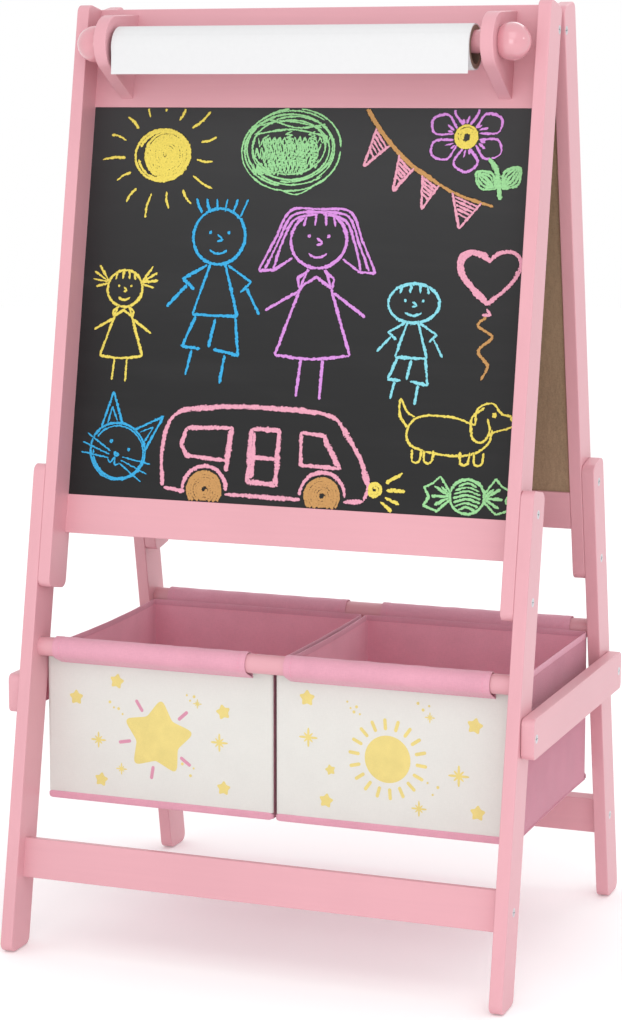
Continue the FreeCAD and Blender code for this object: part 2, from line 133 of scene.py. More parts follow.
class EaselFinishes(bpy.types.PropertyGroup):
    """Colours of the wood, boards, paper and metal."""
    paint: tint("Paint", "Satin paint on the slats and rails", 213, 156, 165)
    gloss: tint("Gloss paint", "Paint on the roll's rod and knobs", 208, 145, 154)
    # Painted sheen on the chalkboard: the top colour is the board painted lighter, the foot colour the board
    # in painted shade.
    chalkboard_top: tint("Chalkboard, top", "Board paint near the top rail", 48, 48, 49)
    chalkboard_foot: tint("Chalkboard, foot", "Board paint near the bottom rail", 20, 20, 21)
    whiteboard: tint("Whiteboard", "Lacquer of the rear board", 222, 224, 224)
    hardboard: tint("Hardboard", "Bare back of the boards", 150, 127, 102)
    bare_wood: tint("Bare wood", "Dowels", 205, 172, 128)
    paper: tint("Paper", "Drawing paper", 215, 215, 216)
    cardboard: tint("Cardboard", "Core of the paper roll", 150, 132, 116)
    zinc: tint("Zinc", "Screw heads", 205, 206, 210)
    hinge: tint("Hinge steel", "Hinge leaves and pins", 190, 190, 192)
    brass: tint("Brass", "Threaded inserts", 196, 160, 92)


class EaselBins(bpy.types.PropertyGroup):
    """Sizes and colours of the cloth bins."""
    cloth: tint("Cloth", "Sides, back and floor", 193, 122, 142)
    # Painted light: the lining is the bin cloth in a lighter copy, standing in for light that reaches the
    # inner walls.
    lining: tint("Lining", "Inside of the bins", 234, 169, 187)
    sleeve: tint("Sleeve cloth", "Sleeves over the rods and the lower trim", 216, 155, 173)
    front: tint("Front cloth", "Printed front panel", 215, 214, 209)
    thread: tint("Thread", "Stitches", 226, 140, 168)
    yellow: tint("Print yellow", "Stars and sun", 216, 198, 124)
    rose: tint("Print rose", "Rays of the star", 204, 140, 162)
    thickness: size("Cloth thickness", "Thickness of the walls", 0.8)
    corner: size("Corner radius", "Radius of the upright corners", 3.5)
    rim_drop: size("Rim drop", "Rim below the rods' middle", 1.7)
    rim_sag: size("Rim sag", "How far the side rims hang between the rods", 2.0)
    rim_bow: size("Rim bow", "How far the side rims draw in between the rods", 1.5)
    belly: size("Belly", "How far the walls swell lower down", 1.6)
    hem: size("Hem height", "Height of the folded hem on the rim", 6.5)
    trim: size("Trim height", "Height of the coloured trim under the walls", 8.5)
    sleeve_drop: size("Sleeve drop", "The sleeves' seam below the rods' middle", 19.5)
    sleeve_left: size("Sleeve inset, left", "From the bin's left side to its sleeves", 19.0)
    sleeve_right: size("Sleeve inset, right", "From the sleeves to the bin's right side", 23.5)
    stitch: size("Stitch length", "Length of one stitch", 3.2)
    stitch_gap: size("Stitch gap", "Gap between stitches", 1.9)
    stitch_radius: size("Thread radius", "Half the thickness of the thread", 0.28)


class EaselChalk(bpy.types.PropertyGroup):
    """Chalk strokes and their colours."""
    stroke: size("Stroke width", "Usual width of a chalk stroke", 4.6)
    height: size("Chalk height", "How far the chalk stands on the board", 0.25)
    yellow: tint("Yellow", "Yellow chalk", 224, 204, 96)
    green: tint("Green", "Green chalk", 150, 206, 146)
    blue: tint("Blue", "Blue chalk", 62, 164, 214)
    pale_blue: tint("Pale blue", "Pale blue chalk", 132, 206, 218)
    lilac: tint("Lilac", "Lilac chalk", 206, 140, 212)
    pink: tint("Pink", "Pink chalk", 222, 156, 176)
    brown: tint("Brown", "Brown chalk", 188, 142, 90)


class EaselStage(bpy.types.PropertyGroup):
    """Floor, light and camera."""
    floor: tint("Floor", "Colour of the floor", 247, 247, 247)
    camera_place: bpy.props.FloatVectorProperty(
        name="Camera place", description="Where the camera stands", subtype="TRANSLATION",
        default=(1.0692, -2.8479, 0.9822))
    camera_turn: bpy.props.FloatVectorProperty(
        name="Camera turn", description="How the camera is turned", subtype="EULER",
        default=(math.radians(82.317), 0.0, math.radians(21.042)))
    camera_shift: bpy.props.FloatVectorProperty(
        name="Camera shift", description="Shift of the frame, right and up", size=2,
        default=(0.0106, -0.0641))
    lens: bpy.props.FloatProperty(name="Lens", description="Focal length in mm", default=92.8)


# ---- surfaces --------------------------------------------------------------------------------
def grid_faces(rows, columns, wrap=False):
    """Quads between the points of a grid, row by row; wrap joins the last column to the first."""
    row = np.arange(rows - 1)[:, None]
    column = np.arange(columns if wrap else columns - 1)[None, :]
    after = (column + 1) % columns
    corners = [row * columns + column, row * columns + after,
               (row + 1) * columns + after, (row + 1) * columns + column]
    return np.stack(np.broadcast_arrays(*corners), -1).reshape(-1, 4)


def grid_normals(grid, wrap=False):
    """Unit normals of a grid: the cross product of its slopes along the rows and the columns."""
    down = np.gradient(grid, axis=0)
    if wrap:
        along = np.roll(grid, -1, axis=1) - np.roll(grid, 1, axis=1)
    else:
        along = np.gradient(grid, axis=1)
    return unit(np.cross(along, down))


def lattice(*parts):
    """Coordinates that stretch to one another's shape, side by side along a new last axis."""
    return np.stack(np.broadcast_arrays(*parts), -1)


def unit(vectors):
    """The vectors along the last axis, at length one."""
    return vectors / np.maximum(np.linalg.norm(vectors, axis=-1, keepdims=True), 1e-12)


def heading(path, closed=False):
    """The direction of a path at each of its points."""
    if closed:
        return unit(np.roll(path, -1, axis=0) - np.roll(path, 1, axis=0))
    return unit(np.gradient(path, axis=0))


def toward(angle):
    """The direction at an angle, and the one a quarter turn further."""
    return np.array([math.cos(angle), math.sin(angle)]), np.array([-math.sin(angle), math.cos(angle)])


def travelled(path):
    """The distance along a path at each of its points."""
    return np.concatenate([[0.0], np.cumsum(np.linalg.norm(np.diff(path, axis=0), axis=1))])


def evenly(points, count, closed=False):
    """The same path with count points at equal distances along it."""
    points = np.asarray(points, float)
    if closed:
        points = np.vstack([points, points[:1]])
    run = travelled(points)
    places = np.linspace(0, run[-1], count + 1)[:-1] if closed else np.linspace(0, run[-1], count)
    return np.stack([np.interp(places, run, points[:, i]) for i in range(points.shape[1])], 1)


def path_length(points):
    return float(np.linalg.norm(np.diff(np.asarray(points, float), axis=0), axis=1).sum())


def smoothstep(values):
    values = np.clip(values, 0, 1)
    return values * values * (3 - 2 * values)


def ripple(first, second, seed, pitch):
    """Soft cloth waves from -1 to 1: five sines of seeded direction and phase, of about one pitch."""
    random = np.random.default_rng(seed)
    total = np.zeros(np.broadcast(first, second).shape)
    for turn, phase, stretch in random.uniform([0, 0, 0.7], [math.pi, 2 * math.pi, 1.5], (5, 3)):
        along = first * math.cos(turn) + second * math.sin(turn)
        total = total + np.sin(along * 2 * math.pi / (pitch * stretch) + phase)
    return total / 5


class Patchwork:
    """Closed patches that are gathered into one mesh, each with its UVs and its material's number."""

    def __init__(self):
        self.points, self.uvs, self.corners, self.sides, self.marks, self.count = [], [], [], [], [], 0

    def add(self, points, uvs, faces, marks=0):
        """Points with their UVs, and faces that all have the same number of corners."""
        points, faces = np.asarray(points, float).reshape(-1, 3), np.asarray(faces)
        self.points.append(points)
        self.uvs.append(np.asarray(uvs, float).reshape(-1, 2))
        self.join(faces, marks)
        self.count += len(points)

    def join(self, faces, marks=0):
        """More faces on the points that come next."""
        self.corners.append((faces + self.count).ravel())
        self.sides.append(np.full(len(faces), faces.shape[1]))
        self.marks.append(np.broadcast_to(marks, len(faces)))

    def shell(self, grid, uvs, thickness, mark=0, wrap=False, facing=None):
        """A grid with thickness: a layer each side of it and a wall round its open edges; facing marks
        the layer on the side of its normals."""
        rows, columns = grid.shape[:2]
        lift = grid_normals(grid, wrap) * thickness / 2
        quads = grid_faces(rows, columns, wrap)
        total = rows * columns
        number = np.arange(total).reshape(rows, columns)
        edges = [number[0], number[-1][::-1]]
        if wrap:
            edges = [np.append(edge, edge[0]) for edge in edges]
        else:
            edges += [number[::-1, 0], number[:, -1]]
        rims = [np.stack([edge[:-1], edge[1:], edge[1:] + total, edge[:-1] + total], 1) for edge in edges]
        faces = np.concatenate([quads[:, ::-1], quads + total, *rims])
        marks = np.full(len(faces), mark)
        marks[:len(quads)] = mark if facing is None else facing
        self.add(np.concatenate([(grid + lift).reshape(-1, 3), (grid - lift).reshape(-1, 3)]),
                 np.concatenate([uvs.reshape(-1, 2)] * 2), faces, marks)

    def tube(self, rings, uvs, mark=0, closed=False):
        """Rings of points joined one after the other, with flat ends unless the tube is closed."""
        rows, columns = rings.shape[:2]
        faces = grid_faces(rows, columns, wrap=True)
        first = np.arange(columns)
        last = first + (rows - 1) * columns
        if closed:
            joint = np.stack([last, np.roll(last, -1), np.roll(first, -1), first], 1)
            self.add(rings, uvs, np.concatenate([faces, joint]), mark)
        else:
            self.join(np.stack([first[::-1], last]), mark)
            self.add(rings, uvs, faces, mark)

    def piece(self, name, materials, sharp=None):
        """The object, with smooth faces; sharp is the angle in degrees past which an edge stays sharp."""
        mesh = bpy.data.meshes.new(name)
        points, corners, sides = (np.concatenate(part) for part in (self.points, self.corners, self.sides))
        mesh.vertices.add(len(points))
        mesh.vertices.foreach_set("co", points.astype(np.float32).ravel())
        mesh.loops.add(len(corners))
        mesh.loops.foreach_set("vertex_index", corners.astype(np.int32))
        mesh.polygons.add(len(sides))
        mesh.polygons.foreach_set("loop_start", (np.cumsum(sides) - sides).astype(np.int32))
        layer = mesh.uv_layers.new(name="UVMap")
        layer.data.foreach_set("uv", np.concatenate(self.uvs)[corners].astype(np.float32).ravel())
        mesh.polygons.foreach_set("material_index", np.concatenate(self.marks).astype(np.int32))
        mesh.polygons.foreach_set("use_smooth", np.ones(len(sides), bool))
        mesh.update(calc_edges=True)
        mesh.validate()
        for material in materials:
            mesh.materials.append(material)
        work = bmesh.new()
        work.from_mesh(mesh)
        bmesh.ops.recalc_face_normals(work, faces=work.faces)
        work.to_mesh(mesh)
        work.free()
        if sharp is not None:
            mesh.set_sharp_from_angle(angle=math.radians(sharp))
        thing = bpy.data.objects.new(name, mesh)
        bpy.context.scene.collection.objects.link(thing)
        return thing


# ---- outlines --------------------------------------------------------------------------------
def arc(centre, radii, start=0.0, sweep=360.0, count=48):
    """Part of an ellipse: centre plus (radius cosine, radius sine), angles in degrees."""
    across, along = radii if isinstance(radii, tuple) else (radii, radii)
    angle = np.radians(np.linspace(start, start + sweep, count))
    return np.stack([centre[0] + across * np.cos(angle), centre[1] + along * np.sin(angle)], 1)


def bend(*points, count=40):
    """A smooth path through the points: each stretch is a Catmull-Rom cubic."""
    points = np.array(points, float)
    padded = np.vstack([2 * points[0] - points[1], points, 2 * points[-1] - points[-2]])
    place = np.linspace(0, len(points) - 1 - 1e-9, count)
    index, part = place.astype(int), (place % 1)[:, None]
    before, start, end, after = (padded[index + i] for i in range(4))
    cubic = 3 * start - before - 3 * end + after
    square = 2 * before - 5 * start + 4 * end - after
    return (2 * start + (end - before) * part + square * part ** 2 + cubic * part ** 3) / 2


def zigzag(start, end, width, turns):
    """Scribbling between two points: a straight run with a triangle wave of the given width."""
    start, end = np.array(start, float), np.array(end, float)
    along = np.linspace(0, 1, 2 * turns + 1)
    reach = (end - start) / np.linalg.norm(end - start)
    side = np.where(np.arange(2 * turns + 1) % 2, 0.5, -0.5) * width
    return start + (end - start) * along[:, None] + side[:, None] * np.array([-reach[1], reach[0]])


def spiral(centre, radius, pitch):
    """A spiral from the centre out to the radius, its turns a pitch apart."""
    turns = radius / pitch
    part = np.linspace(0, 1, int(40 * turns)) ** 0.6
    angle = 2 * math.pi * turns * part
    return np.array(centre) + radius * part[:, None] * np.stack([np.cos(angle), np.sin(angle)], 1)


def star_outline(angle, outer, inner, points=5):
    """Radius of a star at an angle: straight lines from each tip to the notch beside it."""
    half = math.pi / points
    turned = np.abs((angle + half) % (2 * half) - half)
    return outer * inner * math.sin(half) / (outer * np.sin(turned) + inner * np.sin(half - turned))


def sparkle_outline(angle, outer):
    """Radius of a sparkle: four long spikes and four short ones, as high powers of two cosines."""
    long_spikes = np.abs(np.cos(2 * angle)) ** 9
    short_spikes = 0.55 * np.abs(np.sin(2 * angle)) ** 9
    return outer * (0.26 + 0.76 * np.maximum(long_spikes, short_spikes))


def capsule_outline(angle, length, width):
    """Radius of a bar with round ends: width / 2 / sine beside it, half circles past its middle line."""
    half, radius = (length - width) / 2, width / 2
    cosine, sine = np.abs(np.cos(angle)), np.abs(np.sin(angle))
    end = half * cosine + np.sqrt(np.maximum(radius ** 2 - (half * sine) ** 2, 0))
    beside = radius / np.maximum(sine, 1e-9)
    return np.where(beside * cosine <= half, beside, end)


class Drawing(Patchwork):
    """Flat marks on a surface; place(u, v, lift) turns surface coordinates into points in space."""

    def __init__(self, place, height, seed=0):
        super().__init__()
        self.place, self.height = place, height
        self.random = np.random.default_rng(seed)
        self.layer = 0

    def step_up(self):
        """Each mark stands a little higher than the one before, so that no two tops coincide."""
        self.layer += 1
        return self.height * (1 + 0.06 * (self.layer % 12))

    def stroke(self, path, width, mark=0, cut=(False, False), pitch=1.5 * MM):
        """A ribbon along a path: a low arch across it, ragged edges, and ends that taper unless cut."""
        length = path_length(path)
        count = max(6, int(length / pitch))
        line = evenly(path, count)
        ahead = heading(line)
        side = np.stack([-ahead[:, 1], ahead[:, 0]], 1)
        ragged = self.random.uniform(-0.55, 0.55, (2, count)) * MM
        knots = np.arange(0, count + 8, 8)
        press = np.interp(np.arange(count), knots, self.random.uniform(-0.26, 0.26, len(knots)))
        run = np.linspace(0, length, count)
        start, end = (np.inf if clipped else away for clipped, away in zip(cut, (run, length - run)))
        taper = 0.35 + 0.65 * np.sqrt(np.clip(np.minimum(start, end) / (width * 0.5), 0, 1))
        half = (width / 2 * (1 + press) + ragged) * taper
        tall = self.step_up()
        across = np.array([-1.0, -0.8, 0.0, 0.8, 1.0])
        lift = np.array([0.02, 0.8, 1.0, 0.8, 0.02]) * tall
        reach = np.where(across[None, :] < 0, half[0][:, None], half[1][:, None]) * across[None, :]
        flat = line[:, None, :] + side[:, None, :] * reach[..., None]
        rings = self.place(flat[..., 0], flat[..., 1], np.broadcast_to(lift, reach.shape))
        uvs = lattice(across[None, :] * 0.5 + 0.5, run[:, None])
        self.tube(rings, uvs, mark)

    def blot(self, centre, outline, mark=0, turn=0.0, count=80, soften=0):
        """A filled shape: rings from the centre out to outline(angle), closed underneath."""
        angle = np.linspace(0, 2 * math.pi, count, endpoint=False)
        radius = outline(angle) if callable(outline) else np.full(count, float(outline))
        for _ in range(soften):
            radius = (np.roll(radius, 1) + radius + np.roll(radius, -1)) / 3
        tall = self.step_up()
        share = np.array([1.0, 0.985, 0.75, 0.5, 0.25, 0.02])
        lift = np.array([0.02, 1.0, 1.0, 1.0, 1.0, 1.0]) * tall
        u = centre[0] + share[:, None] * radius * np.cos(angle + turn)
        v = centre[1] + share[:, None] * radius * np.sin(angle + turn)
        rings = self.place(u, v, np.broadcast_to(lift[:, None], u.shape))
        self.tube(rings, np.stack([u, v], -1), mark)


# ---- materials -------------------------------------------------------------------------------
class Wire:
    """A socket that adds Math nodes when it is used in arithmetic."""

    def __init__(self, finish, socket):
        self.finish, self.socket = finish, socket

    def maths(self, operation, other=0):
        return self.finish.node("ShaderNodeMath", {0: self, 1: other}, operation=operation)

    def __add__(self, other):
        return self.maths("ADD", other)

    def __sub__(self, other):
        return self.maths("SUBTRACT", other)

    def __mul__(self, other):
        return self.maths("MULTIPLY", other)

    def __pow__(self, other):
        return self.maths("POWER", other)

    def sine(self):
        return self.maths("SINE")

    def size(self):
        return self.maths("ABSOLUTE")


class Finish:
    """One material: done() sets its shader's sockets, and node() makes every other node."""

    def __init__(self, name, **values):
        self.material = bpy.data.materials.new(name)
        self.material.use_nodes = True
        self.tree = self.material.node_tree
        self.done(**values)

    def done(self, **values):
        """Sets shader sockets by name, from a value, a colour or a wire, and returns the material."""
        shader = self.tree.nodes["Principled BSDF"]
        for name, value in values.items():
            self.put(shader.inputs[name.replace("_", " ").title().replace("Ior", "IOR")], value)
        return self.material

    def put(self, socket, value):
        if isinstance(value, Wire):
            self.tree.links.new(value.socket, socket)
        elif socket.type == "RGBA" and len(value) == 3:
            socket.default_value = (*value, 1.0)
        else:
            socket.default_value = value

    def node(self, kind, sockets=None, out=0, **settings):
        """Makes a node with its settings and its sockets' values or links; returns one output."""
        made = self.tree.nodes.new(kind)
        for name, value in settings.items():
            setattr(made, name, value)
        for name, value in (sockets or {}).items():
            self.put(made.inputs[name], value)
        return Wire(self, made.outputs[out])

    def axis(self, letter, source="UV"):
        """One coordinate of the surface's place or of its UVs."""
        return self.node("ShaderNodeSeparateXYZ", {0: self.node("ShaderNodeTexCoord", out=source)}, letter)

    def noise(self, scale, detail=3.0, roughness=0.5, grain=(1, 1, 1), turn=(0, 0, 0), source="Object"):
        """Noise on coordinates that are turned and stretched."""
        place = self.node("ShaderNodeMapping", {
            "Vector": self.node("ShaderNodeTexCoord", out=source), "Scale": grain, "Rotation": turn})
        return self.node("ShaderNodeTexNoise", {
            "Vector": place, "Scale": scale, "Detail": detail, "Roughness": roughness})

    def mix(self, share, first, second):
        """A colour between two, by a share from 0 to 1."""
        made = self.tree.nodes.new("ShaderNodeMix")
        made.data_type = "RGBA"
        for socket, value in zip([made.inputs["Factor"], *(s for s in made.inputs if s.type == "RGBA")],
                                 (share, first, second)):
            self.put(socket, value)
        return Wire(self, next(socket for socket in made.outputs if socket.type == "RGBA"))

    def tones(self, share, colour, first, second):
        """A colour between two tones of it."""
        return self.mix(share, shade(colour, first), shade(colour, second))

    def stretch(self, value, low, high, to_low=0.0, to_high=1.0):
        """Maps low..high to to_low..to_high and clips."""
        return self.node("ShaderNodeMapRange", {
            "Value": value, "From Min": low, "From Max": high, "To Min": to_low, "To Max": to_high,
        }, clamp=True)

    def bump(self, height, distance, strength=0.5):
        return self.node("ShaderNodeBump", {"Height": height, "Distance": distance, "Strength": strength})


def shade(colour, share):
    """The colour, lighter or darker."""
    return tuple(min(1.0, part * share) for part in colour)


def painted_wood(name, colour, grain, turn=(0, 0, 0)):
    """Satin paint: faint cloudiness, the timber's grain just showing, and fine sprayed texture."""
    finish = Finish(name, coat_weight=0.12, coat_roughness=0.22, specular_ior_level=0.42)
    lines = finish.noise(1.0, 4.0, 0.6, grain, turn)
    cloud, spray = finish.noise(5.0, 2.0), finish.noise(1400.0, 2.0)
    return finish.done(
        base_color=finish.tones(finish.stretch(cloud * 0.7 + lines * 0.3, 0.35, 0.65), colour, 0.965, 1.03),
        roughness=finish.stretch(spray * 0.5 + lines * 0.5, 0.3, 0.7, 0.34, 0.46),
        normal=finish.bump(lines * 0.8 + spray * 0.3, 0.00012))


def gloss_paint(name, colour):
    """Thick gloss over turned wood: nearly smooth, with the least waviness and specks of dust."""
    finish = Finish(name, coat_weight=0.8, coat_roughness=0.04, specular_ior_level=0.5)
    wave, speck = finish.noise(120.0, 2.0), finish.noise(2200.0, 1.0)
    return finish.done(
        base_color=finish.tones(wave, colour, 0.98, 1.02),
        roughness=finish.stretch(speck, 0.3, 0.7, 0.12, 0.2),
        normal=finish.bump(wave * 0.8 + speck * 0.2, 0.00008, 0.4))


def chalkboard_paint(colours):
    """Matt board paint: painted sheen lighter towards the top, and wiped chalk dust in long slanting smears.
    """
    finish = Finish("chalkboard_paint", specular_ior_level=0.32)
    foot, top = (board_section("chalkboard")[end] * UP[2] + PIN[2] for end in (0, 1))
    # Painted sheen: the board's colour runs from the darker foot to the lighter top, steeper near the top.
    share = finish.stretch(finish.axis("Z", "Object"), foot, top) ** 2.0
    smear = finish.noise(1.0, 5.0, 0.62, (3, 3, 22), (0, math.radians(28), 0))
    board = finish.mix(share, colours.chalkboard_foot, colours.chalkboard_top)
    return finish.done(
        base_color=finish.mix(finish.stretch(smear, 0.48, 0.78, 0.0, 0.03), board, linear(150, 150, 150)),
        roughness=finish.stretch(smear, 0.3, 0.8, 0.5, 0.72),
        normal=finish.bump(finish.noise(1600.0), 0.00012, 0.45))


def whiteboard_lacquer(colour):
    """Hard white lacquer: glossy, faintly rippled, with ghosts of wiped marker."""
    finish = Finish("whiteboard_lacquer", coat_weight=0.5, coat_roughness=0.08)
    ghost, wave = finish.noise(1.0, 4.0, 0.5, (9, 9, 30), (0, math.radians(20), 0)), finish.noise(40.0, 2.0)
    return finish.done(
        base_color=finish.tones(finish.stretch(ghost, 0.5, 0.8, 0, 0.25), colour, 1.0, 0.9),
        roughness=finish.stretch(wave, 0.3, 0.7, 0.14, 0.24), normal=finish.bump(wave, 0.0003, 0.2))


def fibreboard(colour):
    """Pressed fibres: fine speckle, a net of short hairs and broad cloudiness."""
    finish = Finish("hardboard", roughness=0.8, specular_ior_level=0.25)
    speckle, hairs = finish.noise(520.0, 4.0, 0.7), finish.noise(1.0, 3.0, 0.7, (260, 260, 60), (0, 0.4, 0))
    share = finish.stretch(speckle * 0.4 + hairs * 0.35 + finish.noise(7.0) * 0.25, 0.36, 0.64)
    return finish.done(base_color=finish.tones(share, colour, 0.78, 1.2),
                       normal=finish.bump(speckle + hairs, 0.00025, 0.6))


def bare_timber(colour):
    """Beech dowel: long grain along X with short darker flecks."""
    finish = Finish("bare_wood", roughness=0.6)
    lines, flecks = finish.noise(1.0, 5.0, 0.65, (14, 240, 240)), finish.noise(1.0, 2.0, 0.5, (60, 900, 900))
    share = finish.stretch(lines * 0.7 + flecks * 0.3, 0.35, 0.65)
    return finish.done(base_color=finish.tones(share, colour, 0.8, 1.1), normal=finish.bump(lines, 0.0002))


def drawing_paper(colour):
    """Uncoated paper: soft tooth and the faint cloud of its fibres."""
    finish = Finish("paper", roughness=0.86, specular_ior_level=0.2)
    tooth, cloud = finish.noise(1900.0), finish.noise(160.0, 4.0)
    return finish.done(base_color=finish.tones(cloud, colour, 0.975, 1.01),
                       normal=finish.bump(tooth * 0.6 + cloud * 0.4, 0.00008))


def wound_cardboard(colour):
    """Grey-brown core: recycled fibre specks and the slanting seam of its winding."""
    finish = Finish("cardboard", roughness=0.85, specular_ior_level=0.2)
    specks, winding = finish.noise(900.0, 4.0, 0.7), (finish.axis("X", "Object") * 180.0).sine()
    share = finish.stretch(specks * 0.85 + winding * 0.06, 0.35, 0.65)
    return finish.done(base_color=finish.tones(share, colour, 0.75, 1.15),
                       normal=finish.bump(specks + winding * 0.2, 0.0002, 0.6))


def plated_metal(name, colour, roughness):
    """Plated metal: fine brushing, with cloudier and duller patches."""
    finish = Finish(name, metallic=1.0)
    brush, cloud = finish.noise(1.0, 2.0, 0.5, (300, 2600, 2600)), finish.noise(260.0)
    return finish.done(
        base_color=finish.tones(cloud, colour, 0.82, 1.08),
        roughness=finish.stretch(brush * 0.6 + cloud * 0.4, 0.3, 0.7, roughness, roughness + 0.16),
        normal=finish.bump(brush, 0.00004))


def woven_cloth(name, colour, contrast=0.07, sheen=0.25, tones=(0.93, 1.05)):
    """Plain weave on the UVs: threads over and under by two sines, slubs, and soft wear in the colour."""
    finish = Finish(name, roughness=0.86, specular_ior_level=0.2, sheen_weight=sheen, sheen_roughness=0.5)
    turns = 2 * math.pi / (0.75 * MM)
    weave = (finish.axis("X") * turns).sine() * (finish.axis("Y") * turns).sine()
    slub, cross_slub = (
        finish.noise(1.0, 2.0, 0.5, grain, source="UV") for grain in ((900, 160, 1), (160, 900, 1)))
    wear = finish.noise(26.0, 4.0, 0.55)
    share = finish.stretch(weave * contrast + slub * 0.3 + cross_slub * 0.3 + wear * 0.4, 0.36, 0.64)
    return finish.done(base_color=finish.tones(share, colour, *tones),
                       normal=finish.bump(weave * 0.5 + slub * 0.4 + cross_slub * 0.4, 0.00022))


def printed_ink(name, colour):
    """Screen print on cloth: the weave shows through as tiny gaps and a slight unevenness."""
    finish = Finish(name, roughness=0.7, specular_ior_level=0.25)
    gaps, cloud = finish.noise(1500.0, 2.0), finish.noise(60.0)
    share = finish.stretch(gaps * 0.55 + cloud * 0.45, 0.36, 0.62)
    return finish.done(base_color=finish.tones(share, colour, 1.08, 0.95), normal=finish.bump(gaps, 0.0001))


def chalk_stick(name, colour, board):
    """Chalk: grainy, broken along the edges of the stroke where the board shows through."""
    finish = Finish(name, roughness=0.95, specular_ior_level=0.1)
    edge = (finish.axis("X") * 2 - 1).size()
    grain, streak = finish.noise(620.0, 4.0, 0.65), finish.noise(150.0, 2.0)
    bite = finish.stretch(edge, 0.35, 1.0, 0.33, 0.62)
    cover = finish.stretch(grain * 0.62 + streak * 0.38 - bite, -0.02, 0.05)
    tone = finish.tones(finish.stretch(grain, 0.35, 0.65), colour, 0.86, 1.06)
    return finish.done(base_color=finish.mix(cover, board, tone), normal=finish.bump(grain, 0.0004, 0.6))


def sewing_thread(colour):
    """Twisted thread: slanting ply lines on the UVs."""
    finish = Finish("thread", roughness=0.6, sheen_weight=0.3)
    ply = (finish.axis("Y") * 6000.0 + finish.axis("X") * 2 * math.pi).sine() * 0.5 + 0.5
    return finish.done(base_color=finish.tones(ply, colour, 0.8, 1.1), normal=finish.bump(ply, 0.0001, 0.6))


# ---- finishes of the CAD nodes ---------------------------------------------------------------
UPRIGHT_GRAIN, CROSS_GRAIN, BRACE_GRAIN = (190, 190, 6), (6, 190, 190), (190, 6, 190)


def dress_nodes(colours):
    """Gives every CAD node in view its finish, by the first ending that matches; uprights come last."""
    front_upright, rear_upright = (
        painted_wood(f"painted_{side}_upright", colours.paint, UPRIGHT_GRAIN, (turn, 0, 0))
        for side, turn in (("front", -LEAN), ("rear", LEAN)))
    finishes = {
        ("_screw", "_screws"): plated_metal("zinc_screws", colours.zinc, 0.24),
        ("hinge_leaves", "hinge_pins"): plated_metal("hinge_steel", colours.hinge, 0.32),
        "brace_inserts": plated_metal("brass_insert", colours.brass, 0.3),
        "_dowels": bare_timber(colours.bare_wood),
        ("_knob", "roll_rod"): gloss_paint("gloss_paint", colours.gloss),
        "_brace": painted_wood("painted_brace", colours.paint, BRACE_GRAIN),
        "_bracket": painted_wood("painted_bracket", colours.paint, UPRIGHT_GRAIN, (-LEAN, 0, 0)),
        ("_rail", "_bin_rod"): painted_wood("painted_cross_slat", colours.paint, CROSS_GRAIN),
        "backing_board": fibreboard(colours.hardboard),
        "chalkboard": chalkboard_paint(colours),
        "whiteboard": whiteboard_lacquer(colours.whiteboard),
        "paper_roll": drawing_paper(colours.paper),
        "roll_core": wound_cardboard(colours.cardboard),
    }
    for node, thing in frame["nodes"].items():
        upright = rear_upright if node.startswith("rear") else front_upright
        match = next((finish for ends, finish in finishes.items() if node.endswith(ends)), upright)
        thing.data.materials.clear()
        thing.data.materials.append(match)


# ---- cloth bins ------------------------------------------------------------------------------
FLOOR_ROOM = 2.2 * MM       # under the walls' lower edge, for the sagging floor
WALL_ROOM = 0.7 * MM        # outside the walls, for hem, trim and front panel
SIDE_FOLDS = 0.7 * MM       # depth of the side walls' soft folds
FRONT_WAVES = 0.4 * MM      # depth of the front and rear walls' soft waves
FLOOR_SAG, FLOOR_WAVES = 1.4 * MM, 0.5 * MM
SEAM_RADIUS = 1.0 * MM      # of the cord-like seam between walls and floor
PANEL_THICK = 0.6 * MM
TAPE_BULGE = 0.95 * MM      # half the trim's thickness
LOOP_THICK = 1.1 * MM       # cloth of the loops over the rods
LOOP_ROOM = 1.15 * MM       # from the rod to the middle of the loop's cloth
LOOP_HEM = 8.5 * MM         # width of the hems at a loop's ends
END_STITCHES = 7.5 * MM     # from a loop's end to the line of stitches across it
SEAM_STITCHES = 3.0 * MM    # from a loop's seam to the line of stitches along it
HEM_FOLD = 0.45 * MM        # half the extra thickness of the folded hem
PUCKER_DEPTH, PUCKER_PITCH = 0.35 * MM, 9 * MM      # of the gathers below a loop
LOOP_WAVES = 0.4 * MM       # depth of a loop's soft waves
MARK_LIFT = 0.02 * MM       # of prints and chalk over the face that carries them
SIDE_NAMES = {-1: "front", 1: "rear"}


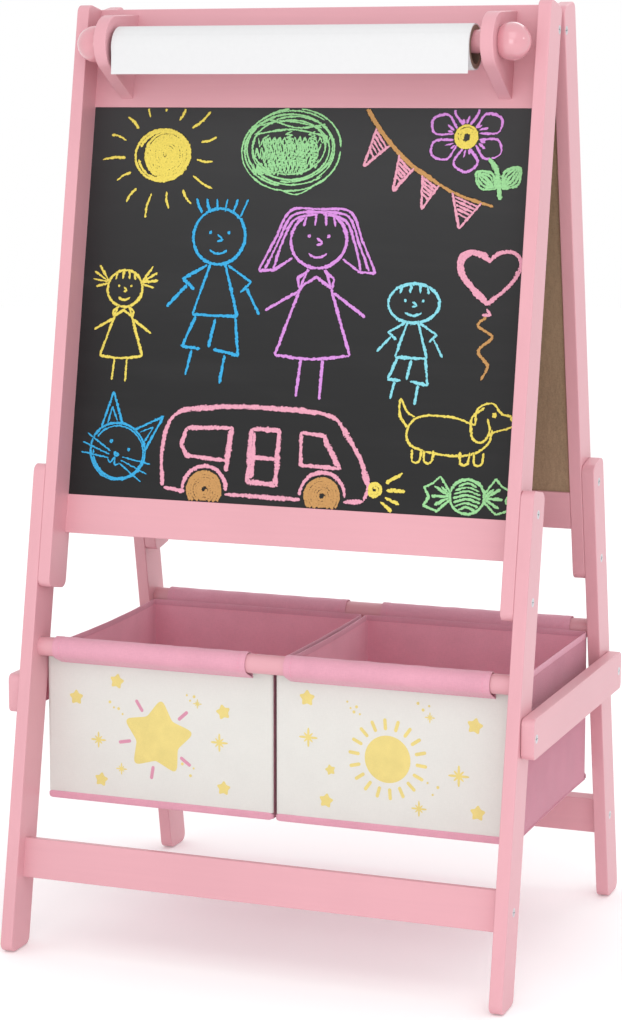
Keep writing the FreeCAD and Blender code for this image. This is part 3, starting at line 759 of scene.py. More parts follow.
class Bin:
    """One bin's places: its box, its rods and the shapes that its pieces share."""

    def __init__(self, hand, sizes):
        self.hand, self.sizes = hand, sizes
        low, high = node_box(f"{hand}_bin")
        self.left, self.right = low[0], high[0]
        rod_y, self.rod_z, self.rod_radius = bar_axis("front_bin_rod")
        self.rod_y = abs(rod_y)
        self.half = 2 * self.rod_y - high[1]
        self.rim = self.rod_z - sizes.rim_drop
        self.seam = self.rod_z - sizes.sleeve_drop
        self.edge = low[2] + FLOOR_ROOM
        self.skin = WALL_ROOM + sizes.thickness / 2
        self.middle = (self.left + self.right) / 2
        self.seed = 11 if hand == "left" else 23

    def outline(self, count, inset, closed=True, side=-1):
        """From above: the whole rounded rectangle, or only its front (-1) or rear (1) with both corners."""
        corner = self.sizes.corner - inset
        left, right = self.left + inset + corner, self.right - inset - corner
        half = self.half - inset - corner
        if closed:
            turns = [arc((x, y), corner, start, 90, 9) for x, y, start in (
                (right, -half, -90), (right, half, 0), (left, half, 90), (left, -half, 180))]
            return evenly(np.vstack([[(self.middle, -half - corner)], *turns]), count, closed=True)
        turns = [arc((x, -half), corner, start, 90, 12) for x, start in ((left, 180), (right, 270))]
        return evenly(np.vstack(turns), count) * (1, -side)

    def swell(self, x, z):
        """How far the front and rear walls stand out under the seam: a slight belly and soft waves."""
        across = np.clip(1 - ((x - self.middle) / (self.right - self.middle)) ** 2, 0, 1)
        drop = np.clip((self.seam - z) / (self.seam - self.edge), 0, 1)
        waves = ripple(x, z * 0.6, self.seed + 2, 0.1) * np.minimum(1, 6 * drop * (1 - drop))
        return across * (self.sizes.belly * 0.5 * np.sin(math.pi * drop) + FRONT_WAVES * waves)

    def hang(self, x, y, drop):
        """A wall's point for a place on the outline and a drop from 0 at the rim to 1 at the lower edge."""
        sizes = self.sizes
        side = smoothstep((np.abs(x - self.middle) / ((self.right - self.left) / 2) - 0.9) / 0.1)
        free = np.clip(1 - (y / self.half) ** 2, 0, 1)
        folds = SIDE_FOLDS * ripple(1.6 * y + x, drop * 0.03, self.seed, 0.075)
        folds = folds * np.sin(math.pi * drop / 2 + 0.4)
        rim_bow = sizes.rim_bow * (1 - smoothstep(drop / 0.5))
        bow = sizes.belly * (np.sin(math.pi * drop) ** 1.5 - 1.15) - rim_bow
        toward = np.sign(x - self.middle)
        room = np.where(toward * self.middle > 0, 1.0, 0.3)
        outward = toward * side * free * room * (bow + folds)
        top = self.rim - sizes.rim_sag * free * side
        z = top + (self.edge - top) * drop
        return np.stack([x + outward, y + np.sign(y) * (1 - side) * self.swell(x, z), z], -1)


def bin_body(bag, materials):
    """The bag: walls hung between the rods, a sagging floor, and a sewn seam where they meet."""
    work = Patchwork()
    sizes = bag.sizes
    around, levels = 260, 30
    loop = bag.outline(around, bag.skin)
    drop = np.linspace(0, 1, levels)[:, None]
    x, y = (np.broadcast_to(loop[:, i], (levels, around)) for i in (0, 1))
    uvs = lattice(np.linspace(0, path_length(loop), around)[None, :], drop * (bag.rim - bag.edge))
    # facing=1: the layer on the normals' side takes the second material, the lighter lining with painted
    # light.
    work.shell(bag.hang(x, y, drop), uvs, sizes.thickness, wrap=True, facing=1)
    rows, columns = 60, 44
    corner = sizes.corner - bag.skin
    deep, wide = bag.half - bag.skin, (bag.right - bag.left) / 2 - bag.skin
    y = np.linspace(-deep, deep, rows)[:, None]
    part = np.linspace(-1, 1, columns)[None, :]
    past = np.clip((np.abs(y) - (deep - corner)) / corner, 0, 1)
    x = bag.middle + part * (wide - corner * (1 - np.sqrt(1 - past ** 2)))
    y = np.broadcast_to(y, x.shape)
    inside = (1 - part ** 2) * (1 - (y / deep) ** 2)
    sag = FLOOR_SAG * inside ** 0.5 - FLOOR_WAVES * ripple(x, y, bag.seed + 5, 0.09) * inside
    work.shell(lattice(x, y, bag.edge - sag), lattice(x, y), sizes.thickness, facing=1)
    seam = bag.hang(loop[:, 0], loop[:, 1], np.ones(around))
    work.tube(*round_cord(seam, SEAM_RADIUS, closed=True), closed=True)
    return work.piece(f"{bag.hand}_bin_body", materials, sharp=50)


def round_cord(path, radius, closed=False, sides=8):
    """Rings of a round tube along a path in space, and their UVs."""
    ahead = heading(path, closed)
    guide = np.where(np.abs(ahead[:, 2:3]) > 0.9, SIDEWAYS[None, :], np.array([[0.0, 0.0, 1.0]]))
    side = unit(np.cross(ahead, guide))
    rise = np.cross(side, ahead)
    angle = np.linspace(0, 2 * math.pi, sides, endpoint=False)[None, :, None]
    rings = path[:, None] + radius * (np.cos(angle) * side[:, None] + np.sin(angle) * rise[:, None])
    return rings, lattice(np.linspace(0, 1, sides)[None, :], travelled(path)[:, None])


def bin_front(bag, materials):
    """The printed front panel, over the bag's wall and round both its corners."""
    work = Patchwork()
    rows, columns = 44, 150
    path = bag.outline(columns, PANEL_THICK / 2, closed=False)
    under_hem, over_trim = bag.rim - bag.sizes.hem + 1.0 * MM, bag.edge + bag.sizes.trim - 2.0 * MM
    z = np.linspace(under_hem, over_trim, rows)[:, None]
    x, y = path[None, :, 0], path[None, :, 1]
    run = np.linspace(0, path_length(path), columns)
    work.shell(lattice(x, y - bag.swell(x, z), z), lattice(run[None, :], z), PANEL_THICK)
    return work.piece(f"{bag.hand}_bin_front", materials, sharp=60)


def bin_trim(bag, side, materials):
    """Folded tape along a wall's lower edge: a flat rounded section, |a|^p + |b|^p = 1, carried round it."""
    work = Patchwork()
    columns = 150
    base = bag.outline(columns, -0.3 * MM, closed=False, side=side)
    outward = heading(base)[:, ::-1] * (1, -1) * -side
    angle = np.linspace(0, 2 * math.pi, 16, endpoint=False)
    bulge, rise = (half * np.sign(wave) * np.abs(wave) ** 0.6 for half, wave in (
        (TAPE_BULGE, np.cos(angle)), (bag.sizes.trim / 2, np.sin(angle))))
    ends = np.minimum(np.arange(columns), np.arange(columns)[::-1])[:, None]
    close = np.sqrt(np.clip((ends + 0.4) / 4, 0, 1))
    flat = base[:, None, :] + outward[:, None, :] * (bulge[None, :] * close)[..., None]
    height = bag.edge + bag.sizes.trim / 2 - 1.4 * MM + rise[None, :] * close
    uvs = lattice(np.linspace(0, path_length(base), columns)[:, None], rise[None, :])
    work.tube(np.concatenate([flat, height[..., None]], -1), uvs)
    return work.piece(f"{bag.hand}_bin_{SIDE_NAMES[side]}_trim", materials, sharp=60)


def sleeve_section(bag, count):
    """Outward and up from the rod's axis: a circle drawn down to the seam by its two tangents."""
    radius = bag.rod_radius + LOOP_ROOM
    seam = np.array([-radius, bag.seam - bag.rod_z])
    toward = seam / np.linalg.norm(seam)
    touch = np.array([-radius, 0.0])
    mirrored = 2 * toward * (toward @ touch) - touch
    sweep = math.degrees(math.atan2(mirrored[1], mirrored[0])) - 180
    return evenly(np.vstack([[seam], arc((0, 0), radius, 180, sweep, 40)]), count, closed=True)


def bin_sleeve(bag, side, materials):
    """A cloth loop over the front (-1) or rear (+1) rod, sewn to the wall, with hemmed open ends."""
    work = Patchwork()
    sizes = bag.sizes
    left, right = bag.left + sizes.sleeve_left, bag.right - sizes.sleeve_right
    rows, columns = 150, 72
    section = sleeve_section(bag, columns)
    out, up = section.T[:, None]
    x = np.linspace(left, right, rows)[:, None]
    from_end = np.minimum(x - left, right - x)
    hem_lift = 0.3 * MM * smoothstep((LOOP_HEM - from_end) / (1.5 * MM))
    free = smoothstep((out + 0.8 * bag.rod_radius) / (6 * MM))
    pucker = PUCKER_DEPTH * np.sin(x * 2 * math.pi / PUCKER_PITCH) * smoothstep((-up - 8 * MM) / (8 * MM))
    wave = LOOP_WAVES * ripple(x, up * 0.5, bag.seed + 7, 0.03)
    radius = np.linalg.norm(section, axis=1)[None, :]
    swell = 1 + free * (hem_lift + (wave + pucker) * smoothstep(from_end / (20 * MM))) / radius
    grid = lattice(x, side * (bag.rod_y + out * swell), bag.rod_z + up * swell)
    uvs = lattice(x, np.linspace(0, path_length(section), columns)[None, :])
    work.shell(grid, uvs, LOOP_THICK, wrap=True)
    slope = unit(section[-1] - section[0])
    out, up = section[0] + slope * SEAM_STITCHES + slope[::-1] * (1, -1) * 0.7 * MM
    ends = [[end, side * (bag.rod_y + out), bag.rod_z + up] for end in (left + 3 * MM, right - 3 * MM)]
    add_stitches(work, evenly(ends, 200), sizes)
    for end in (left + END_STITCHES, right - END_STITCHES):
        line = grid[int(np.argmin(np.abs(x[:, 0] - end))), 14:-4]
        outward = unit((line - (0, side * bag.rod_y, bag.rod_z)) * (0, 1, 1))
        add_stitches(work, evenly(line + outward * 0.6 * MM, 80), sizes)
    return work.piece(f"{bag.hand}_bin_{SIDE_NAMES[side]}_sleeve", materials, sharp=50)


def add_stitches(work, path, sizes, mark=1):
    """Short lengths of thread along a path, each arched out of the cloth's surface at its middle."""
    total, run = path_length(path), travelled(path)
    step = sizes.stitch + sizes.stitch_gap
    for start in np.arange(0.5 * step, total - step, step):
        places = start + np.array([0.0, 0.12, 0.5, 0.88, 1.0]) * sizes.stitch
        points = np.stack([np.interp(places, run, path[:, i]) for i in range(3)], 1)
        rings, uvs = round_cord(points, sizes.stitch_radius, sides=5)
        squeeze = np.array([0.25, 0.85, 1.0, 0.85, 0.25])[:, None, None]
        rings = points[:, None] + (rings - points[:, None]) * squeeze
        work.tube(rings, uvs, mark)


def bin_hem(bag, materials):
    """The rim's hem: cloth folded over the edge, an upright loop carried round, stitched low down."""
    work = Patchwork()
    sizes = bag.sizes
    count = 320
    loop = bag.outline(count, bag.skin)
    path = bag.hang(loop[:, 0], loop[:, 1], np.zeros(count))
    ahead = heading(path * (1, 1, 0), closed=True)
    outward = ahead[:, [1, 0, 2]] * (1, -1, 0)
    half = sizes.thickness / 2 + HEM_FOLD
    profile = np.array([(half, -1.0), (half + 0.1 * MM, -0.6), (half, -0.15), (0.55 * half, 0.02),
                        (-0.55 * half, 0.02), (-half, -0.15), (-half - 0.1 * MM, -0.6), (-half, -1.0)])
    across, rise = (profile * (1, sizes.hem)).T[:, None]
    rings = path[:, None] + outward[:, None] * across[..., None]
    rings[..., 2] = rings[..., 2] + rise
    work.tube(rings, lattice(travelled(path)[:, None], rise), closed=True)
    inner, outer = (path + outward * (side * (half + 0.15 * MM)) - (0, 0, 0.8 * sizes.hem)
                    for side in (-1, 1))
    add_stitches(work, inner, sizes)
    straight = bag.half - 2 * sizes.corner
    outer = np.roll(outer, -count // 4, axis=0)
    for part in np.split(outer, np.flatnonzero(np.diff(np.abs(outer[:, 1]) < straight)) + 1):
        if abs(part[len(part) // 2, 1]) < straight and len(part) > 8:
            add_stitches(work, part, sizes)
    return work.piece(f"{bag.hand}_bin_hem", materials, sharp=50)


# Prints in millimetres from the panel's middle at the seam, v downwards: stars and sparkles with a radius
RAY_ANGLES = (-123, -42, 36, 100, 169)
STARS = {
    "left": ((-104, 41, 10), (-52, 18, 10), (81, 43, 10), (-73, 136, 9.5), (81, 132, 9.5)),
    "right": ((-103, 18, 10.5), (94, 33, 10.5), (-75, 98, 7), (-80, 134, 9.5), (98, 131, 10))}
SPARKLES = {
    "left": ((-76, 89, 9.5), (76, 79, 10.5), (-47, 121, 7), (49, 36, 5.5)),
    "right": ((-101.5, 63, 11), (76, 91, 12), (30, 132.5, 9), (42, 28, 6))}
DOTS = {
    "left": ((-56, 49), (-50, 50), (-45, 56), (-61, 43), (36, 27), (45, 28), (40, 33), (30, 108), (44, 112),
             (40, 121)),
    "right": ((-55, 18), (-44, 23), (-51, 25), (-47, 29), (-40, 31), (28, 13), (41, 15), (34, 20), (40, 102),
              (52, 106), (46, 115))}


def bin_print(bag, materials):
    """The front panel's print: one large star or sun with rays, small stars, sparkles and dots."""

    def place(u, v, lift):
        x, z = bag.middle + u, bag.seam - v
        return lattice(x, -(bag.half + MARK_LIFT + bag.swell(x, z) + lift), z)

    def star(centre, radius, turn, **more):
        drawing.blot(centre, lambda angle: star_outline(angle, radius, 0.58 * radius),
                     turn=math.radians(turn), **more)

    drawing = Drawing(place, 0.12 * MM)
    if bag.hand == "left":
        centre, mark, reach, length = np.array([-0.5, 80]) * MM, 1, 42.5 * MM, 16 * MM
        angles = np.radians(RAY_ANGLES)
        star(centre, 47 * MM, -84, count=160, soften=6)
    else:
        centre, mark, reach, length = np.array([-7, 79.5]) * MM, 0, 39.8 * MM, 13.6 * MM
        angles = np.arange(18) * 2 * math.pi / 18 + 0.1
        drawing.blot(centre, 27 * MM, count=96)
    for angle in angles:
        middle = centre + reach * toward(angle)[0]
        drawing.blot(middle, lambda turned: capsule_outline(turned, length, 4 * MM), mark,
                     turn=angle, count=120)
    for number, (u, v, radius) in enumerate(STARS[bag.hand]):
        star((u * MM, v * MM), radius * MM, -90 + 14 * math.sin(number * 2.3), soften=3)
    for u, v, radius in SPARKLES[bag.hand]:
        drawing.blot((u * MM, v * MM), lambda angle: sparkle_outline(angle, radius * MM), count=160)
    for number, (u, v) in enumerate(DOTS[bag.hand]):
        drawing.blot((u * MM, v * MM), (1.3 + 0.5 * (number % 2)) * MM, count=16)
    return drawing.piece(f"{bag.hand}_bin_print", materials, sharp=40)


def build_bins(sizes):
    """Both bins. The front panel and sleeves stay with their rods; the bag goes with the front frame."""
    cloth = woven_cloth("bin_cloth", sizes.cloth)
    # The lining is a lighter copy of the bin cloth: painted light on the inner walls.
    lining = woven_cloth("bin_lining", sizes.lining)
    sleeve_cloth = woven_cloth("sleeve_cloth", sizes.sleeve)
    front_cloth = woven_cloth("front_cloth", sizes.front, contrast=0.05, sheen=0.1, tones=(0.965, 1.02))
    thread = sewing_thread(sizes.thread)
    inks = [printed_ink("print_yellow", sizes.yellow), printed_ink("print_rose", sizes.rose)]
    for hand in ("left", "right"):
        bag = Bin(hand, sizes)
        body = bin_body(bag, [cloth, lining])
        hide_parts(f"{hand}_bin")
        folding = [body, bin_hem(bag, [sleeve_cloth, thread]), bin_trim(bag, 1, [sleeve_cloth])]
        with_front = [bin_front(bag, [front_cloth]), bin_print(bag, inks),
                      bin_trim(bag, -1, [sleeve_cloth]), bin_sleeve(bag, -1, [sleeve_cloth, thread])]
        rear_sleeve = bin_sleeve(bag, 1, [sleeve_cloth, thread])
        for piece in folding + with_front:
            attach(piece, "front_frame")
        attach(rear_sleeve, "rear_frame")
        behind_panel = (0, 1 * MM - bag.half, bag.rod_z)
        for piece in folding:
            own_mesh(piece)


# ---- paper -----------------------------------------------------------------------------------
def loose_paper(colours):
    """The roll's loose end: it leaves the roll in front, hangs straight and curls a little at its cut."""
    work = Patchwork()
    low, high = node_box("paper_tail")
    roll_y, roll_z, roll_radius = bar_axis("paper_roll")
    rows, columns = 40, 130
    radius = roll_radius + 0.35 * MM
    wrap = arc((0, 0), radius, 145, 35, 20)
    drop = roll_z - low[2]
    hanging = np.stack([np.full(20, -radius), -np.linspace(0.05, 1, 20) * drop], 1)
    profile = evenly(np.vstack([wrap, hanging]), rows)
    x = np.linspace(low[0], high[0], columns)[None, :]
    below = np.clip(-profile[:, 1] / drop, 0, 1)[:, None]
    curl = 1.4 * MM * below ** 3
    wave = 0.35 * MM * ripple(x, 0.4 * x, 31, 0.16) * below ** 2
    y = roll_y + profile[:, 0:1] - curl + wave
    z = roll_z + profile[:, 1:2] + 0.2 * MM * ripple(x, x, 37, 0.2) * below
    run = np.linspace(0, path_length(profile), rows)
    work.shell(lattice(x, y, z), lattice(x, run[:, None]), 0.25 * MM)
    tail = work.piece("loose_paper", [drawing_paper(colours.paper)], sharp=50)
    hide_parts("paper_tail")
    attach(tail, "front_frame")


# ---- chalk drawings --------------------------------------------------------------------------
def chalk_page(colours, chalk):
    """Places on the board as a function of (u, v, lift), the board's limits, and a finish for each chalk."""
    left, right, top, face = chalk_face()
    middle = (left + right) / 2

    def place(u, v, lift):
        x, up, out = middle + u, top - v, face + MARK_LIFT + lift
        x, up, out = (part[..., None] for part in np.broadcast_arrays(x, up, out))
        return PIN + SIDEWAYS * x + UP * up + OUT * out

    foot = board_section("front_bottom_rail")[1]
    limits = np.array([[left - middle, 0], [right - middle, top - foot]])
    names = ["yellow", "green", "blue", "pale_blue", "lilac", "pink", "brown"]
    # The board showing through the chalk: halfway between the painted-sheen top and the painted-shade foot.
    board = tuple((a + b) / 2 for a, b in zip(colours.chalkboard_top, colours.chalkboard_foot))
    sticks = {name: chalk_stick(f"chalk_{name}", getattr(chalk, name), board) for name in names}
    return place, limits, sticks


BOARD_MARGIN = 1.5 * MM     # left free of chalk along the board's edges


class Chalk(Drawing):
    """A chalk drawing in millimetres about its own centre, v downwards, turned by degrees."""

    def __init__(self, name, page, chalk, colours, centre, seed, turn):
        place, limits, sticks = page
        super().__init__(place, chalk.height, seed)
        self.name, self.width, self.centre = name, chalk.stroke, np.array(centre, float)
        self.materials = [sticks[colour] for colour in colours]
        self.low, self.high = limits[0] + BOARD_MARGIN, limits[1] - BOARD_MARGIN
        cosine, sine = math.cos(math.radians(turn)), math.sin(math.radians(turn))
        self.turned = np.array([[cosine, sine], [-sine, cosine]])

    def line(self, path, width=1.0, colour=0):
        """A stroke; where it would run off the board it is cut at the board's edge."""
        path = (np.asarray(path, float) @ self.turned + self.centre) * MM
        path = evenly(path, max(5, int(path_length(path) / MM)))
        inside = np.all((path > self.low) & (path < self.high), axis=1)
        for part in np.split(np.arange(len(path)), np.flatnonzero(np.diff(inside)) + 1):
            if inside[part[0]] and len(part) > 3:
                cut = (part[0] > 0, part[-1] < len(path) - 1)
                self.stroke(path[part], self.width * width, colour, cut)

    def lines(self, paths, width=1.0, colour=0):
        for path in paths:
            self.line(path, width, colour)

    def disc(self, centre, radius, colour=0, hole=0.0):
        """A disc rubbed in with the side of the stick: a tight spiral and a firm rim."""
        rubbed = spiral((0, 0), radius - 2, 3.3)
        rubbed = rubbed[np.linalg.norm(rubbed, axis=1) >= hole]
        self.line(rubbed + centre, 1.15, colour)
        self.line(arc(centre, radius - 1.5, 40, 370, 60), 0.9, colour)

    def finish(self):
        thing = self.piece(self.name, self.materials, sharp=60)
        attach(thing, "front_frame")


def draw_sun(page):
    """A rubbed-in disc with a loose ring and rays of uneven length."""
    sun = page("chalk_sun", (-180, 55), ["yellow"])
    sun.disc((4, 0), 27)
    sun.line(arc((0, 1), (34, 30), 20, 385, 70), 1.0)
    sun.line(arc((1, 1), (31, 28), 200, 330, 60), 1.0)
    sun.line(arc((5, 0), (29, 27), 270, 200, 40), 1.3)
    for number in range(15):
        reach, side = toward(2 * math.pi * number / 15 + 0.12)
        near, far = 44 + 3 * (number % 3), 64 + 6 * ((number * 2) % 3)
        middle = reach * (near + far) / 2 + side * 1.5
        sun.line(bend(reach * near, middle, reach * far, count=12), 0.8)
    sun.finish()


def draw_scribble(page):
    """A ball of loose rings, rubbed and hatched two ways across its middle."""
    ball = page("chalk_scribble", (-21, 47), ["green"])
    for number in range(7):
        start = 50 * number
        radii = (60 - 2.6 * number, 46 - 2.4 * number)
        shift = (3.0 * math.sin(number * 1.9), 2.5 * math.cos(number * 2.7))
        ball.line(arc(shift, radii, start, 310, 70), 0.58)
    for number in range(7):
        lean, shift = 4 * math.sin(number * 2.1), 7 * math.cos(number * 1.7)
        start = (-40 + shift, -9 + 6 * number - lean)
        end = (40 + shift - 3 * number, -10 + 6 * number + lean)
        ball.line(zigzag(start, end, 8 + 3 * (number % 3), 13), 0.55)
    for number in range(5):
        top = -14 + 6 * math.sin(number * 2.6)
        ball.line(zigzag((-32 + 14 * number, top), (-22 + 13 * number, top + 34), 9, 8), 0.5)
    arches = (((-42, -26), (-8, -32), (36, -24)), ((-46, -16), (0, -22), (44, -14)),
              ((-30, -34), (6, -24), (40, -28)))
    ball.lines([bend(*points, count=20) for points in arches], 0.6)
    ball.line(bend((-12, 47), (12, 52), (40, 36), count=20), 0.5)
    ball.finish()


def draw_bunting(page):
    """A sagging string with four pennants, rubbed in towards the string."""
    string = bend((-78, -56), (-60, -30), (-38, -6), (-18, 11), (4, 24), (34, 40), (78, 54), count=60)
    bunting = page("chalk_bunting", (145, 56), ["pink", "brown"])
    for share, tip in ((0.14, (-22, 35)), (0.37, (-14, 34)), (0.6, (-9, 34)), (0.82, (-7, 35))):
        start = string[int(share * 59)]
        end = string[int((share + 0.14) * 59)]
        point = (start + end) / 2 + np.array(tip)
        bunting.lines([[start, point], [point, end]], 0.95)
        for part in (0.1, 0.21, 0.32, 0.43, 0.56):
            bunting.line([start + (point - start) * part, end + (point - end) * (part + 0.05)], 0.8)
    bunting.line(string, 1.1, 1)
    bunting.line(string[:40] + (1.5, -1.5), 0.7, 1)
    bunting.finish()


def draw_flower(page):
    """Six round petals about a filled middle, on a curved stem with two leaves."""
    flower = page("chalk_flower", (187, 32), ["lilac", "yellow", "green"])
    squat = (1.0, 0.86)
    for number in range(6):
        reach, side = toward(2 * math.pi * number / 6 + 0.5)
        petal = bend(reach * 15 - side * 4, reach * 34 - side * 14, reach * 46, reach * 34 + side * 14,
                     reach * 15 + side * 4, count=34)
        flower.line(petal * squat, 0.85)
        flower.lines([[reach * 17 * squat, (reach * 27 + side * 3) * squat],
                      [(reach * 17 - side * 3) * squat, (reach * 23 - side * 4) * squat]], 0.8)
    flower.disc((0, 0), 14, 1, hole=4.5)
    flower.line(bend((28, 24), (38, 40), (43, 70), count=16), 1.7, 2)
    for tip, root in (((14, 40), (38, 58)), ((64, 34), (45, 58))):
        tip, root = np.array(tip, float), np.array(root, float)
        side = np.array([-(tip - root)[1], (tip - root)[0]]) * 0.34
        middle = (tip + root) / 2
        for share in (1.0, 0.62, 0.2):
            leaf = [root, middle + side * share, tip, middle - side * share, root]
            flower.line(bend(*leaf, count=26), 0.9, 2)
    flower.finish()


def draw_balloon(page):
    """A heart-shaped balloon, heavier on its left, on a wavy string."""
    balloon = page("chalk_balloon", (223, 184), ["pink", "brown"])
    angle = np.linspace(0, 2 * math.pi, 70)
    heart = np.stack([36 * np.sin(angle) ** 3,
                      -28 * np.cos(angle) + 11 * np.cos(2 * angle) + 5 * np.cos(3 * angle)], 1)
    balloon.line(heart, 1.35)
    balloon.line(heart[38:66] * 0.92, 1.4)
    balloon.line(heart[40:60] * 0.86, 0.8)
    balloon.line([(-5, 46), (5, 46), (0, 39)], 0.9)
    balloon.line(bend((0, 48), (-9, 58), (8, 70), (-7, 86), (5, 102), (-2, 118), count=36), 1.0, 1)
    balloon.finish()


def child_hair(style):
    """Strokes of one of four plain hair styles, about a head of radius 30 at (0, -62)."""
    fringe = [[(-14, -88), (-17, -76)], [(-4, -90), (-5, -77)], [(6, -90), (7, -77)], [(15, -87), (17, -76)]]
    if style == "short":
        return [[(-22 + 9 * i, -84 - 5 * math.sin(0.6 * i + 0.4)), (-29 + 12 * i, -101)] for i in range(6)]
    if style == "tails":
        tail = ((-72, 46, -98), (-72, 54, -88), (-72, 56, -76), (-70, 50, -64))
        return fringe + [[(side * 28, near), (side * reach, far)]
                         for side in (-1, 1) for near, reach, far in tail]
    if style == "long":
        sides = []
        for side in (-1, 1):
            sides += [bend((0, -94), (side * 32, -92), (side * 47, -62), (side * 63, -29), count=26),
                      bend((side * 3, -89), (side * 28, -82), (side * 40, -56), (side * 47, -31), count=22),
                      bend((side * 6, -92), (side * 31, -86), (side * 44, -58), (side * 56, -31), count=22),
                      [(side * 63, -29), (side * 46, -30), (side * 27, -43)]]
        return fringe + sides
    return fringe


def draw_child(page, name, centre, colour, scale, swell, hair, gown):
    """A stick child: round head, two dots, a nose and a smile, a tunic or a gown, straight arms and legs."""
    child = page(name, centre, [colour])
    wide = 0.72 + 0.28 * scale
    head = np.array([0.0, -62.0])

    def face(paths, width):
        for path in paths:
            child.line(((np.asarray(path, float) - head) * swell + head) * scale, width * wide)

    face([arc(head, (30, 29), 100, 372, 50)], 1.05)
    face([arc((-10, -66), 1.2, count=8), arc((11, -66), 1.2, count=8),
          bend((-2, -64), (4, -59), (-2, -57), count=8), arc((0, -54), (12, 10), 35, 110, 12)], 0.8)
    face(child_hair(hair), 0.85)
    if gown:
        body = [[(-10, -32), (-40, 58)], [(10, -32), (42, 56)], bend((-40, 58), (0, 61), (42, 56), count=16),
                [(-8, -31), (-20, -22), (-18, -12), (0, -24), (18, -12), (20, -22), (8, -31)],
                [(-19, -8), (-54, 12)], [(20, -8), (56, 16)],
                [(-11, 61), (-14, 100)], [(13, 60), (12, 102)]]
    else:
        body = [[(-8, -33), (-26, 26)], [(9, -33), (28, 27)], [(-26, 26), (28, 27)],
                [(-12, -30), (-40, -14), (-26, -2)], [(13, -30), (42, -12), (30, 0)],
                [(-35, -7), (-58, 18)], [(37, -5), (54, 24)],
                [(-22, 28), (-36, 62), (-14, 64)], [(2, 30), (-4, 62)], [(2, 64), (32, 70), (26, 28)],
                [(-24, 66), (-30, 94)], [(16, 70), (12, 102)]]
    child.lines([np.array(path, float) * scale for path in body], wide)
    child.finish()


def draw_cat(page):
    """A cat's head: a rough circle, pointed ears, whiskers, dots and a small mouth."""
    cat = page("chalk_cat", (-211, 401), ["blue"], turn=22)
    cat.line(arc((0, 0), (35, 32), 30, 380, 60), 0.8)
    cat.line(arc((1, 1), (32, 30), 190, 330, 50), 0.6)
    cat.line(arc((-1, 1), (34, 33), 60, 200, 40), 0.5)
    for side in (-1, 1):
        cat.line([(side * 31, -15), (side * 35, -60), (side * 9, -31)], 0.85)
        cat.line([(side * 26, -24), (side * 29, -44), (side * 16, -31)], 0.6)
        cat.lines([[(side * 8, 4), (side * 44, -3)], [(side * 8, 8), (side * 45, 9)],
                   [(side * 7, 12), (side * 42, 20)]], 0.5)
        cat.line(arc((side * 12, -7), 1.4, count=8), 0.8)
    cat.line([(-4, 3), (4, 3), (0, 7), (-4, 3)], 0.8)
    cat.line(bend((-8, 13), (-3, 16), (0, 8), (3, 16), (8, 13), count=20), 0.6)
    cat.finish()


def draw_bus(page):
    """A round-cornered bus with three windows, a door, two rubbed-in wheels and a lamp with its beams."""
    bus = page("chalk_bus", (-28, 396), ["pink", "brown", "yellow"])
    roof = bend((-124, 42), (-127, 0), (-116, -38), (-80, -50), (0, -53), (72, -48), (96, -28), (118, 6),
                (126, 30), (122, 46), count=90)
    bus.line(roof, 1.35)
    bus.line(bend((-96, -48), (-20, -53), (60, -49), count=30), 1.5)
    bus.line(bend((92, -34), (116, 2), (124, 28), count=20), 1.9)
    bus.lines([[(-122, 44), (-96, 47)], [(-46, 48), (46, 49)], [(98, 49), (122, 47)]], 1.4)
    bus.line([(-98, -26), (-42, -28), (-44, 10), (-96, 6), (-104, -6), (-98, -26)], 1.3)
    bus.line([(-44, -26), (-46, 22)], 1.8)
    bus.line([(-18, -28), (16, -28), (15, 34), (-19, 32), (-18, -28)], 1.7)
    bus.lines([[(-14, -24), (-15, 28)], [(-16, 4), (14, 5)]], 1.5)
    bus.line([(42, -27), (70, -24), (92, 12), (44, 10), (42, -27)], 1.3)
    bus.line([(70, -22), (90, 10)], 1.9)
    for middle in (-72, 72):
        bus.line(arc((middle, 44), 27, 180, 180, 30), 1.3)
        bus.disc((middle, 44), 22, 1, hole=3)
    bus.disc((134, 33), 9, 2, hole=2)
    bus.lines([[(147, 25), (166, 13)], [(148, 33), (170, 33)], [(147, 41), (164, 48)],
               [(142, 46), (158, 58)]], 1.1, 2)
    bus.finish()


def draw_dog(page):
    """A long low dog with a drooping ear, four short feet and a raised tail."""
    dog = page("chalk_dog", (190, 360), ["yellow"])
    body = ((28, -8), (0, -16), (-36, -15), (-50, 0), (-44, 18), (-10, 26), (24, 25), (44, 12), (48, -4))
    head = ((28, -8), (30, -26), (46, -33), (58, -22), (72, -18), (70, -8), (52, -2), (44, 2))
    dog.lines([bend(*body, count=70), bend(*head, count=50)], 0.78)
    dog.line(bend((38, -28), (24, -16), (26, 6), (38, 10), (45, -2), (42, -16), count=36), 0.8)
    dog.line(bend((-50, -2), (-60, -16), (-60, -34), (-52, -20), (-42, -14), count=26), 0.78)
    dog.lines([arc((50, -20), 1.8, count=8), arc((71, -17), 2.4, count=8)], 1.0)
    for middle in (-38, -24, 18, 34):
        foot = bend((-5, 22), (-4, 35), (4, 35), (6, 22), count=16)
        dog.line(foot + (middle, 0), 0.75)
    dog.finish()


